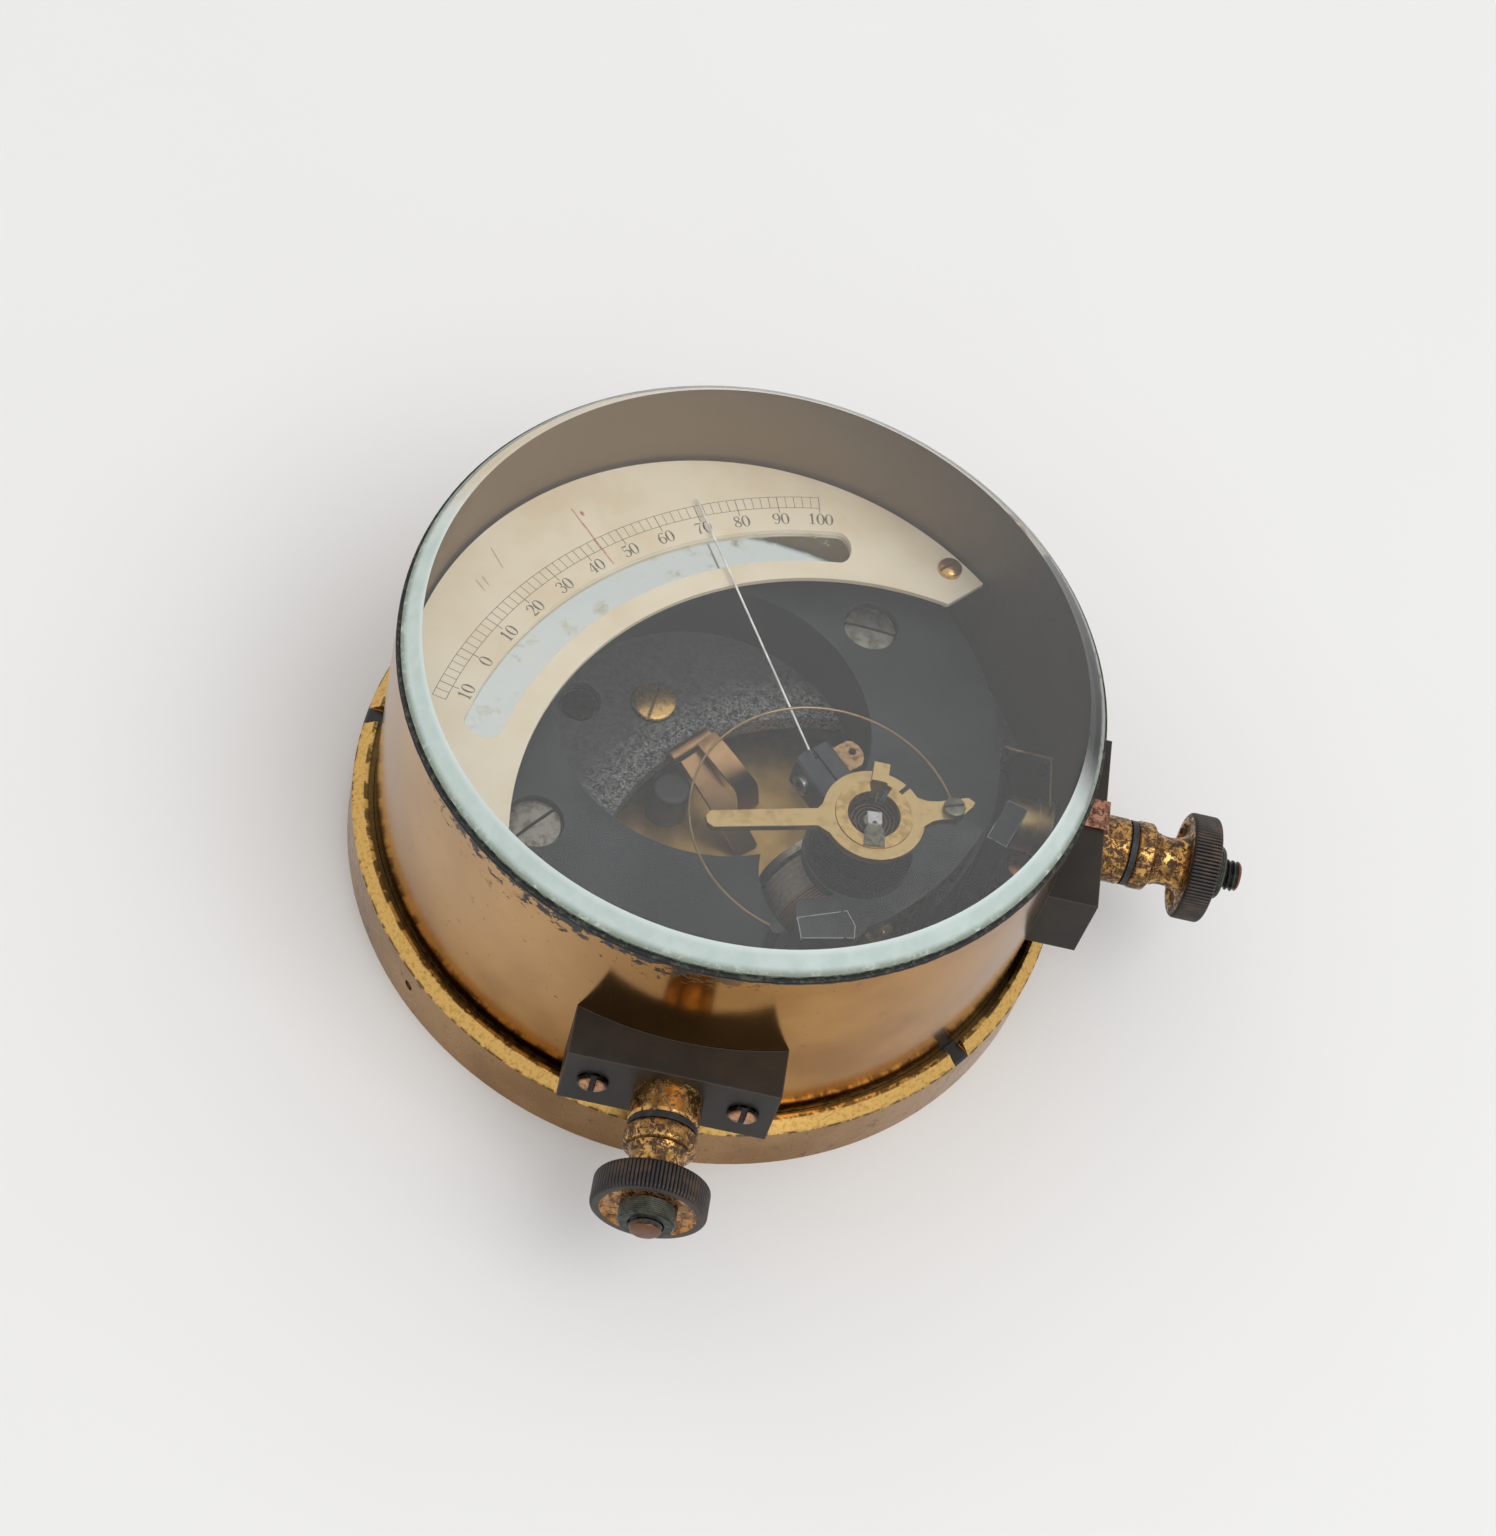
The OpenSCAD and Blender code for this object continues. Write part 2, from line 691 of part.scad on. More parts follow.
module magnet() {
    color("#3c4043") difference() {
        translate([0, 0, magnet_z]) intersection() {
            translate([magnet_c[0], magnet_c[1], 0]) cylinder(r = magnet_r, h = magnet_t);
            cylinder(r = magnet_clip_r, h = magnet_t);
        }
        translate([magnet_c[0], magnet_c[1], magnet_z - 1]) cylinder(r = opening_r, h = magnet_t + 2);
        translate([pivot[0], pivot[1], magnet_z - 1]) cylinder(r = bore_r, h = magnet_t + 2);
        at_pivot() rotate([0, 0, core_az]) translate([0, -stem_r - clear_gap, magnet_z - 1])
            cube([case_r, 2 * (stem_r + clear_gap), magnet_t + 2]);
        both_terminals(drum_in - stud_in - clear_gap) cylinder(r = inner_nut_r + clear_gap, h = stud_in);
        for (p = pillar_at) translate([p[0], p[1], magnet_z - 1]) cylinder(r = pillar_r + running, h = magnet_t + 2);
        translate([post_at[0], post_at[1], magnet_z - 1]) cylinder(r = post_r + clear_gap, h = magnet_t + 2);
        for (a = magnet_screw_az) at_pivot() rotate([0, 0, a]) translate([magnet_screw_r, 0, 0]) {
            translate([0, 0, magnet_z - 1]) cylinder(r = magnet_shank_r + running, h = magnet_t + 2);
            translate([0, 0, magnet_top - sink_d]) cylinder(r = sink_r, h = sink_d + 1);
        }
    }
}

module magnet_screws() {
    color("slategray") for (i = [0, 1]) at_pivot() rotate([0, 0, magnet_screw_az[i]])
        translate([magnet_screw_r, 0, magnet_top - sink_d])
        slotted_screw(magnet_head_r, magnet_head_h, magnet_shank_r, magnet_t - sink_d + casting_t,
            i == 0 ? 85 : -130);
}

module scale_pillars() {
    color("goldenrod") for (p = pillar_at) translate([p[0], p[1], magnet_z])
        ring(pillar_r, scale_shank_r + running, scale_under - magnet_z);
}

// A band between the slot's ends, with flattened round ends; its arcs are struck a little off the pivot
module slot_band(w) {
    mid_az = (slot_az[0] + slot_az[1]) / 2;
    half = (slot_az[1] - slot_az[0]) / 2;
    cap = slot_cap + (w - slot_w) / 2;
    translate(slot_c) union() {
        polygon(concat(
            arc([0, 0], slot_r + w / 2, mid_az - half, mid_az + half, 60),
            arc([0, 0], slot_r - w / 2, mid_az + half, mid_az - half, 60)
        ));
        for (a = slot_az) rotate([0, 0, a]) translate([slot_r, 0])
            polygon([for (t = [0:12:348]) [w / 2 * cos(t), cap * sin(t)]]);
    }
}

module scale_plate() {
    color("wheat") translate([0, 0, scale_under]) linear_extrude(scale_t) difference() {
        intersection() {
            circle(r = scale_r);
            polygon(concat([[0, 0]], arc([0, 0], 2 * case_r, scale_mid_az - scale_half_az,
                scale_mid_az + scale_half_az, 12)));
        }
        translate(pivot) circle(r = scale_in_r);
        slot_band(slot_w);
        for (p = pillar_at) translate(p) circle(r = scale_shank_r + running);
    }
}

module scale_mirror() {
    color("lightgray") translate([0, 0, mirror_z]) linear_extrude(mirror_t) slot_band(slot_w + 2 * mirror_margin);
}

module scale_screws() {
    color("peru") for (p = pillar_at) translate([p[0], p[1], scale_z])
        slotted_screw(scale_head_r, scale_screw_h, scale_shank_r, scale_screw_l, 35, 0.9);
}

// Plate over the coil, on a foot on each pole of the magnet, with a raised lug at the front
module pole_bridge() {
    lug = [[-7.57, -13.56], [-0.55, -10.63], [0.9, -12.8], [1.05, -14.9], [-6.55, -16.8]];
    neck = [[-7.9, -10], [-3.6, -8.5], [0, -6], [4, -7], [3.4, -11], [1.05, -14.9], [-6.55, -16.8], [-7.57, -13.56]];
    band_in = 36;
    band_out = magnet_r - 0.5;
    band_az = [-56, -19];
    side_foot_az = -27;
    color("#46494c") difference() {
        union() {
            translate([0, 0, bridge_z]) {
                linear_extrude(bridge_t) {
                    translate(magnet_c) polygon(concat(
                        arc([0, 0], band_out, band_az[0], band_az[1], 24),
                        arc([0, 0], band_in, band_az[1], band_az[0], 24)
                    ));
                    translate(pivot) circle(r = bridge_boss_r);
                    translate(pivot) polygon(neck);
                }
                linear_extrude(bridge_t + lug_h) translate(pivot) polygon(lug);
            }
            difference() {
                translate([0, 0, magnet_top]) linear_extrude(bridge_z - magnet_top + eps) {
                    translate(pivot) polygon(lug);
                    translate(magnet_c) polygon(concat(
                        arc([0, 0], band_out, side_foot_az, band_az[1], 6),
                        arc([0, 0], band_in, band_az[1], side_foot_az, 6)
                    ));
                }
                translate([pivot[0], pivot[1], 0]) cylinder(r = bore_r + 0.2, h = bridge_z);
            }
        }
        translate([pivot[0], pivot[1], 0]) cylinder(r = ball_bore_r, h = rim_z);
    }
}

// Flanged tube on the bridge, split at one side so that it grips the adjuster ring
module bridge_bush() {
    color("goldenrod") at_pivot() difference() {
        union() {
            translate([0, 0, bridge_top]) cylinder(r = bush_flange_r, h = bush_flange_h);
            translate([0, 0, bridge_top]) cylinder(r = bush_r, h = bush_top - bridge_top);
        }
        translate([0, 0, bridge_top - 1]) cylinder(r = bush_in_r, h = bush_top);
        translate([0, 0, spring_z - 1.5]) linear_extrude(bush_top) polygon(concat(
            [[0, 0]], arc([0, 0], 3 * bush_r, bush_gap_az - bush_gap / 2, bush_gap_az + bush_gap / 2, 4)
        ));
    }
}

// Thin finger from the bush's rim to its axis, which keeps the staff from jumping out of its jewel
module staff_guard() {
    guard_az = -84;
    color("silver") at_pivot() translate([0, 0, bush_top]) rotate([0, 0, guard_az]) linear_extrude(0.35)
        difference() {
            polygon([[-0.2, -1.05], [2.4, -1.05], [2.8, -1.4], [5.4, -1.5], [5.4, 1.5], [2.8, 1.4], [2.4, 1.05],
                [-0.2, 1.05]]);
            translate([1.65, 0]) circle(r = 0.35);
        }
}

module core_ball() {
    color("#505356") at_pivot() translate([0, 0, coil_z]) difference() {
        sphere(r = ball_r);
        translate([0, 0, -jewel_d]) cylinder(r = ball_bore_r, h = ball_r + jewel_d + 1);
        rotate([0, 0, core_az]) translate([ball_r / 2, 0, 0]) rotate([0, 90, 0])
            cylinder(r = stem_r + running, h = ball_r);
    }
}

module core_stem() {
    color("darkgoldenrod") at_pivot() translate([0, 0, coil_z]) rotate([0, 0, core_az])
        translate([ball_r / 2, 0, 0]) rotate([0, 90, 0]) cylinder(r = stem_r, h = stem_end - ball_r / 2);
}

module core_bracket() {
    color("darkgoldenrod") at_pivot() rotate([0, 0, core_az]) difference() {
        translate([bracket_x, -bracket_w / 2, floor_z]) cube([bracket_t, bracket_w, coil_z + 3.5 - floor_z]);
        translate([bracket_x - 1, 0, coil_z]) rotate([0, 90, 0]) cylinder(r = stem_r + running, h = bracket_t + 2);
    }
}

// Cup jewel at the ball's centre
module jewel() {
    color("firebrick") at_pivot() translate([0, 0, coil_z - jewel_d]) difference() {
        cylinder(r = ball_bore_r - running, h = jewel_d + jewel_rise);
        translate([0, 0, jewel_d - 0.3]) cylinder(r1 = 0.1, r2 = 0.9, h = 1);
    }
}

// Round knob on the floor, beside the casting's inner edge
module lifter_knob() {
    knob_r = 3.1;
    knob_h = 7;
    knob_round = 0.9;
    knob_gap = 0.64;
    knob_az = 145.4;
    knob_d = casting_in_r - knob_gap - knob_r;
    knob_at = pivot + knob_d * [cos(knob_az), sin(knob_az)];
    color("#33302c") translate([knob_at[0], knob_at[1], floor_z]) rotate_extrude() polygon(concat(
        [[0, 0], [knob_r, 0]],
        arc([knob_r - knob_round, knob_h - knob_round], knob_round, 0, 90, 8),
        [[0, knob_h]]
    ));
}

// Bronze leaf: a rolled eye above the casting's edge and two strips running down to the floor
module contact_leaf() {
    leaf_t = 0.5;
    eye_z = 16.3;
    eye_r = 1.25;
    eye_l = 7.8;
    across = 45;
    foot_z = floor_z + leaf_t / 2;
    flat_way = [[-5.2, 4.6, eye_z - 0.7], [1.5, -0.3, 11], [6.7, -4.1, foot_z]];
    arched_way = [[-3.6, 7.3, eye_z + 0.9], [-1.8, 6.1, eye_z + 0.5], [2.3, 3.9, 14.4], [4.7, 3.7, 11.3],
        [5.9, 3.7, foot_z]];
    module strips(way, w) {
        for (i = [0:len(way) - 2]) hull() for (p = [way[i], way[i + 1]])
            translate(p) rotate([0, 0, across]) rotate([0, 90, 0])
                cylinder(r = leaf_t / 2, h = w, center = true, $fn = 16);
    }
    color("#a8744a") {
        difference() {
            translate([-5.6, 5.6, eye_z]) rotate([0, 0, across + 4]) rotate([0, 90, 0])
                cylinder(r = eye_r, h = eye_l, center = true);
            translate([-5.6, 5.6, eye_z]) rotate([0, 0, across + 4]) rotate([0, 90, 0])
                cylinder(r = eye_r - leaf_t, h = eye_l + 1, center = true);
        }
        strips(flat_way, 4);
        strips(arched_way, 3.8);
    }
}

// One ring of the coil, between two stations along the pointer's line
module coil_band(x0, x1, r_in, r_out) {
    coil_frame() rotate([0, 90, 0]) translate([0, 0, x0]) ring(r_out, r_in, x1 - x0);
}

module staff_hole() {
    at_pivot() translate([0, 0, coil_z]) cylinder(r = staff_r + running, h = coil_r + 1);
}

module pivot_staff() {
    tip_h = 1.2;
    color("silver") at_pivot() union() {
        translate([0, 0, coil_z - 0.2]) cylinder(r1 = 0.06, r2 = staff_r, h = tip_h);
        translate([0, 0, coil_z - 0.2 + tip_h]) cylinder(r = staff_r, h = staff_top - coil_z + 0.2 - tip_h);
        translate([0, 0, collet_z]) cylinder(r = collet_r, h = collet_h);
    }
}

module coil_former() {
    color("#a0653c") difference() {
        union() {
            coil_band(rear_x, ring_end, coil_in_r, coil_in_r + former_t);
            coil_band(rear_x, winding_x, coil_in_r, coil_r);
        }
        staff_hole();
    }
}

module coil_winding() {
    color("#6b4632") coil_band(winding_x, wrap_x, coil_in_r + former_t + eps, coil_r - 0.2);
}

module coil_wrap() {
    color("#7d6e60") difference() {
        coil_band(wrap_x, wrap_end, coil_in_r + former_t + eps, coil_r);
        staff_hole();
    }
}

module coil_front_ring() {
    color("silver") coil_band(ring_x, ring_end, coil_in_r + former_t + eps, coil_r);
}

module pointer_bracket() {
    color("#3a3a3a") difference() {
        coil_frame() translate([ring_end, -bracket_bar_w / 2, coil_in_r + 0.2])
            cube([block_at[0] - ring_end, bracket_bar_w, coil_r - coil_in_r - 0.4]);
        block_frame() translate([block_rear, -10, 0]) cube([20, 20, rim_z]);
    }
}

// Frame of the pointer's block, which stands askew to the pointer: +X toward its front, z 0 at the table
module block_frame() {
    at_pivot() rotate([0, 0, pointer_az]) translate([block_at[0], block_at[1], 0]) rotate([0, 0, block_turn])
        children();
}

// Dark block with a groove along its top and a seat where the pointer enters it
module pointer_block() {
    groove_w = 0.4;
    groove_depth = 0.6;
    color("#2f3236") difference() {
        intersection() {
            block_frame() translate([block_rear, 0, 0]) rotate([90, 0, 90])
                linear_extrude(block_front - block_rear) polygon([
                    [block_right, block_low + 1], [block_right + 0.9, block_low], [block_left - 0.9, block_low],
                    [block_left, block_low + 0.9], [block_left, block_high - 0.3], [block_left - 0.3, block_high],
                    [block_groove + groove_w / 2, block_high],
                    [block_groove + groove_w / 2, block_high - groove_depth],
                    [block_groove - groove_w / 2, block_high - groove_depth],
                    [block_groove - groove_w / 2, block_high],
                    [block_right + 0.6, block_high], [block_right, block_high - 0.6]
                ]);
            block_frame() linear_extrude(rim_z) polygon([
                [block_rear, block_right], [block_front, block_right], [block_front, 0.5],
                [block_front - 0.5, block_left], [block_rear, block_left]
            ]);
        }
        coil_frame() translate([pointer_from, -pointer_seat, pointer_z - pointer_seat - coil_z])
            cube([block_front + 6, 2 * pointer_seat, block_high]);
    }
}

module block_lug() {
    lug_t = 0.8;
    lug_z = pointer_z - 1.4;
    color("#b07a45") block_frame() translate([0, 0, lug_z]) linear_extrude(lug_t) difference() {
        polygon([
            [2.9, block_right], [3, -7.6], [2.6, -8.3], [1.5, -8.8], [0.3, -8.75], [-0.7, -8.3], [-1.5, -7.4],
            [-1.6, -6.2], [-1.6, block_right]
        ]);
        translate([1, -7.3]) circle(r = 0.6);
    }
}

module pointer() {
    color("white") coil_frame() translate([pointer_from, 0, pointer_z - coil_z]) rotate([0, 90, 0])
        cylinder(r = pointer_r, h = pointer_l - pointer_from);
}

module balance_ring() {
    color("silver") block_frame() translate([balance_at[0], block_left, balance_at[1]]) rotate([-90, 0, 0])
        ring(balance_r, balance_r - 0.8, 0.8);
}

module tail_rod() {
    color("silver") coil_frame() translate([tail_end, 0, tail_z - coil_z]) rotate([0, 90, 0])
        cylinder(r = tail_rod_r, h = rear_x - tail_end);
}

module tail_weights() {
    weight_t = 1.1;
    color("goldenrod") coil_frame() for (i = [0, 1])
        translate([tail_end + 0.4 + i * (weight_t + 0.2), 0, tail_z - coil_z]) rotate([0, 90, 0])
        ring(tail_weight_r, tail_rod_r + running, weight_t);
}

// Split ring with a long and a short arm that turns stiffly on the bush
module adjuster_ring() {
    arm_w = 2.7;
    color("#b8904a") at_pivot() translate([0, 0, ring_low]) difference() {
        linear_extrude(ring_t) {
            circle(r = ring_r);
            rotate([0, 0, adjuster_az_long]) polygon([
                [0, -2.4], [ring_r - 0.5, -2.4], [ring_r + 0.6, -arm_w / 2], [long_arm - 0.8, -arm_w / 2],
                [long_arm, -arm_w / 2 + 0.8], [long_arm, arm_w / 2 - 0.8], [long_arm - 0.8, arm_w / 2],
                [ring_r + 1, arm_w / 2 + 0.15], [ring_r - 0.4, 2.7], [0, 2.7]
            ]);
            rotate([0, 0, adjuster_az_short]) polygon([
                [0, -2.7], [ring_r - 0.7, -2.7], [ring_r + 1, -1.9], [short_arm - 5.6, -1.75],
                [short_arm - 3.1, -1.95], [short_arm - 0.6, -0.2], [short_arm, 0.5], [short_arm - 0.8, 1.4],
                [ring_r + 2.6, 1.25], [ring_r + 1, 1.5], [ring_r - 0.5, 2.3], [0, 2.3]
            ]);
        }
        translate([0, 0, -1]) cylinder(r = adjuster_bore, h = ring_t + 2);
        rotate([0, 0, 54.3]) translate([0, -0.35, -1]) cube([3 * ring_r, 0.7, ring_t + 2]);
        rotate([0, 0, tab_az]) {
            translate([0, -tab_w / 2 - running, ring_t / 2]) cube([2 * ring_r, tab_w + 2 * running, ring_t]);
            translate([0, -tab_w / 2 - running, -1])
                cube([adjuster_bore + tab_leg_t + running, tab_w + 2 * running, ring_t + 2]);
        }
        translate([adjuster_stud_at[0] - pivot[0], adjuster_stud_at[1] - pivot[1], -1])
            cylinder(r = 0.8 + running, h = ring_t + 2);
    }
}

// Bent tab whose leg hangs in front of the bush's gap and holds the hairspring's outer end
module adjuster_tab() {
    color("#b8904a") at_pivot() rotate([0, 0, tab_az]) difference() {
        translate([0, -tab_w / 2, 0]) union() {
            translate([4, 0, ring_low + ring_t / 2]) cube([tab_reach - 4, tab_w, ring_t / 2 + tab_rise]);
            translate([4, 0, ring_z - tab_drop]) cube([adjuster_bore + tab_leg_t - 4, tab_w, tab_drop]);
        }
        cylinder(r = adjuster_bore, h = rim_z);
    }
}

module adjuster_stud() {
    color("#3b3835") translate([adjuster_stud_at[0], adjuster_stud_at[1], ring_z])
        slotted_screw(adjuster_stud_r, 1.2, 0.8, ring_t + 0.4, 20);
}

spring_pitch = (spring_out - spring_in) / spring_turns;
spring_steps = 90;
spring_turn = 360 * spring_turns;
function spring_r(a) = spring_in + spring_pitch * a / 360;
function spring_az(i) = bush_gap_az + spring_turn * (i / spring_steps - 1);
function spring_edge(side) = [
    for (i = [0:spring_steps])
        (spring_r(spring_turn * i / spring_steps) + side * spring_t / 2) * [cos(spring_az(i)), sin(spring_az(i))]
];
spring_gap = spring_pitch - spring_t;
echo(hairspring_least_gap = spring_gap);

// Flat spiral from the staff's collet out through the bush's gap to the adjuster's tab
module hairspring() {
    outer = spring_edge(1);
    inner = spring_edge(-1);
    color("#c9a25a") at_pivot() translate([0, 0, spring_z]) linear_extrude(spring_h) {
        polygon(concat(outer, [for (i = [0:spring_steps]) inner[spring_steps - i]]));
        rotate([0, 0, bush_gap_az]) translate([spring_out - spring_t / 2, -spring_t / 2])
            square([adjuster_bore - spring_out - 0.05, spring_t]);
    }
}

base_plate();
base_ring();
base_grub_screws();
drum_case();
glass_cement();
cover_glass();
front_terminal_block();
side_terminal_block();
terminal_block_screws();
front_terminal_stud();
side_terminal_stud();
front_terminal_collar();
side_terminal_collar();
front_terminal_washer();
side_terminal_washer();
front_terminal_nut();
side_terminal_nut();
inner_stud_nuts();
inner_insulators();
earthing_strip();
front_inner_block();
side_inner_block();
inner_block_screws();
side_lead();
lead_post();
loop_lead();
casting();
casting_screws();
magnet();
magnet_screws();
scale_pillars();
scale_plate();
scale_mirror();
scale_screws();
pole_bridge();
bridge_bush();
staff_guard();
core_ball();
core_stem();
core_bracket();
jewel();
lifter_knob();
contact_leaf();
pivot_staff();
coil_former();
coil_winding();
coil_wrap();
coil_front_ring();
pointer_bracket();
pointer_block();
block_lug();
pointer();
balance_ring();
tail_rod();
tail_weights();
adjuster_ring();
adjuster_tab();
adjuster_stud();
hairspring();
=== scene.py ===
"""Looks of the unipivot galvanometer: materials, printed scale, threads, knurls and lights.

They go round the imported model, in the frame of the CAD. Named sizes are in millimetres and angles
in degrees. `MM` turns millimetres into metres.
"""

import math

import bpy
from mathutils import Matrix, Vector


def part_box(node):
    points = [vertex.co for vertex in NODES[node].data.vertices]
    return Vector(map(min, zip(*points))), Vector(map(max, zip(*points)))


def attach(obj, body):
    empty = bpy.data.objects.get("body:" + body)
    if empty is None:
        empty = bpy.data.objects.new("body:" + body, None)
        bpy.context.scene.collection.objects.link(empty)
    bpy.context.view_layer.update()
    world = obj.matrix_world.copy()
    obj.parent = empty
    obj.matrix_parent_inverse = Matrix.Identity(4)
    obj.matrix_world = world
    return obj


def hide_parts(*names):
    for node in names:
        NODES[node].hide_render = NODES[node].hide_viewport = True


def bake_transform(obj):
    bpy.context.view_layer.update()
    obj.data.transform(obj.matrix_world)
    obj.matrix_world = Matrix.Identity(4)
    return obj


MM = 0.001

# The camera, as solved from the drum's rims and the scale's ticks in the photograph
PHOTO_W, PHOTO_H = 1496, 1536
FOCAL_PX = 2953.93
ELEVATION = math.radians(55.23)
ROLL = math.radians(18.30)
AZIMUTH = math.radians(-7.0)
EYE_ALONG = (5.74 * MM, 13.07 * MM, 465.95 * MM)
CENTRE_PX = (736.35, 761.17)
SENSOR_MM = 36.0

# Sizes of the model, as in its source
DRUM_IN = 50.6
RIM_Z = 49.4
BASE_H = 11.0
BEVEL_H = 1.5
NOTCH_AZ = (-37.8, 176.2)
NOTCH_W = 3.0
GLASS_Z = 49.8
GLASS_R = 51.4
GLASS_T = 3.0
GLASS_EDGE_H = 0.6
GLASS_BEVEL_W = 2.8
BRIDGE_TOP = 35.0
BLOCK_TOP = 28.9
BUSH_R, BUSH_TOP = 4.4, 44.9
TERMINAL_Z = 23.5
BLOCK_FACE = 57.5
STUD_R = 2.38
STUD_START = 43.2
STUD_ENDS = {"front": 78.65, "side": 80.5}
TERMINAL_AZ = {"front": -90.0, "side": 0.0}
THREAD_PITCH = 0.81
THREAD_DEPTH = 0.42
NUT_START = 63.3
FLANGE_R, FLANGE_L = 5.2, 3.0
WAIST_R, WAIST_L = 3.7, 4.9
HEAD_R, HEAD_L = 8.19, 4.4
BOSS_R, BOSS_L = 4.05, 1.9
FLANGE_ROUND, HEAD_ROUND, STUD_ROUND = 0.7, 0.6, 0.8
DISH = 0.5
KNURLS, KNURL_DEPTH = 90, 0.30
GROOVES, GROOVE_DEPTH = 14, 0.07
PIVOT = (20.1725, -18.6016)
POINTER_AZ = 119.2
COIL_Z = 21.5
SCALE_Z = 32.5
SCALE_IN_R, SCALE_OUT_R = 64.2, 66.3
SCALE_LONG = 3.1
SCALE_ZERO_AZ = 161.1
SCALE_STEP_AZ = 0.59
SCALE_VALUES = (-14, 100)
ARC_STEPS = 120
LINE_W, LONG_LINE_W = 0.10, 0.13
NUMBER_R = 62.05
NUMBER_H = 2.05
PRINT_LIFT = 0.015

# The contact leaf: points along the middle of each strip. None stands for the floor
LEAF_T = 0.5
LEAF_AZ = 45
LEAF_FLAT_W, LEAF_ARCHED_W = 4.0, 3.8
LEAF_FLAT = ((-5.2, 4.6, 15.6), (1.5, -0.3, 11.0), (6.7, -4.1, None))
LEAF_ARCHED = (
    (-3.6, 7.3, 17.2), (-1.8, 6.1, 16.8), (2.3, 3.9, 14.4), (4.7, 3.7, 11.3), (5.9, 3.7, None))
EYE_AT = (-5.6, 5.6, 16.3)
EYE_R, EYE_L = 1.25, 7.8

# Lines drawn on the scale by hand
RED_LINE = ((-31.2, 33.1), (-23.0, 24.4))
PENCIL_LINES = (
    ((-42.78, 15.72), (-41.08, 14.08)),
    ((-41.72, 22.26), (-39.26, 19.05)),
    ((-42.0, 16.6), (-40.7, 15.3)),
)

# The loop of lead wire: an arc from its post to the adjuster's stud
LOOP_C = (13.34, -21.75)
LOOP_R = 19.4
LOOP_Z = 45.05
LOOP_AZ = (26.0, 253.7)
LOOP_WIRE_R = 0.19

# Where looks change from one place to another
CHIPPED_AZ = -113
LIT_BEVEL_AZ = -105
OPENING_C, OPENING_R = (-3.5, 4.5), 25
SHINE_R, SHINE_SPREAD = 38.0, 7.5
DARK_SCREW_X = -17.5
CASTING_SLOT, MAGNET_SLOT = 0.75, 0.7
PAD_R = 1.7

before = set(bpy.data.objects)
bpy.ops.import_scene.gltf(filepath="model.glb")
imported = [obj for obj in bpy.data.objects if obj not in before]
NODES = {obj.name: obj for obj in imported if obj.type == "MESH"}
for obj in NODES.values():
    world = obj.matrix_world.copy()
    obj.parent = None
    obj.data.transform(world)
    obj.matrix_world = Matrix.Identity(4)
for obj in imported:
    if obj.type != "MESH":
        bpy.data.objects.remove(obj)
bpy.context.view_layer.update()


def put(item):
    """Puts an object in the scene."""
    bpy.context.scene.collection.objects.link(item)


def heading(azimuth):
    """The unit vector in the XY plane at an azimuth in degrees."""
    turn = math.radians(azimuth)
    return math.cos(turn), math.sin(turn)


def add_camera():
    """The camera of the photograph: its place, tilt, roll, focal length and small shift."""
    forward = Vector((0, math.cos(ELEVATION), -math.sin(ELEVATION)))
    level = Vector((1, 0, 0))
    rise = level.cross(forward)
    right = level * math.cos(ROLL) + rise * math.sin(ROLL)
    up = rise * math.cos(ROLL) - level * math.sin(ROLL)
    eye = right * EYE_ALONG[0] + up * EYE_ALONG[1] - forward * EYE_ALONG[2]
    turn = Matrix.Rotation(AZIMUTH, 3, "Z")
    axes = Matrix((turn @ right, turn @ up, turn @ -forward)).transposed()
    data = bpy.data.cameras.new("photo_camera")
    data.sensor_width = SENSOR_MM
    data.lens = FOCAL_PX * SENSOR_MM / max(PHOTO_W, PHOTO_H)
    data.shift_x = (PHOTO_W / 2 - CENTRE_PX[0]) / max(PHOTO_W, PHOTO_H)
    data.shift_y = (CENTRE_PX[1] - PHOTO_H / 2) / max(PHOTO_W, PHOTO_H)
    data.clip_start = 0.01
    data.clip_end = 20
    camera = bpy.data.objects.new("photo_camera", data)
    camera.matrix_world = Matrix.Translation(turn @ eye) @ axes.to_4x4()
    put(camera)
    bpy.context.scene.camera = camera


add_camera()


# ---------------------------------------------------------------- materials

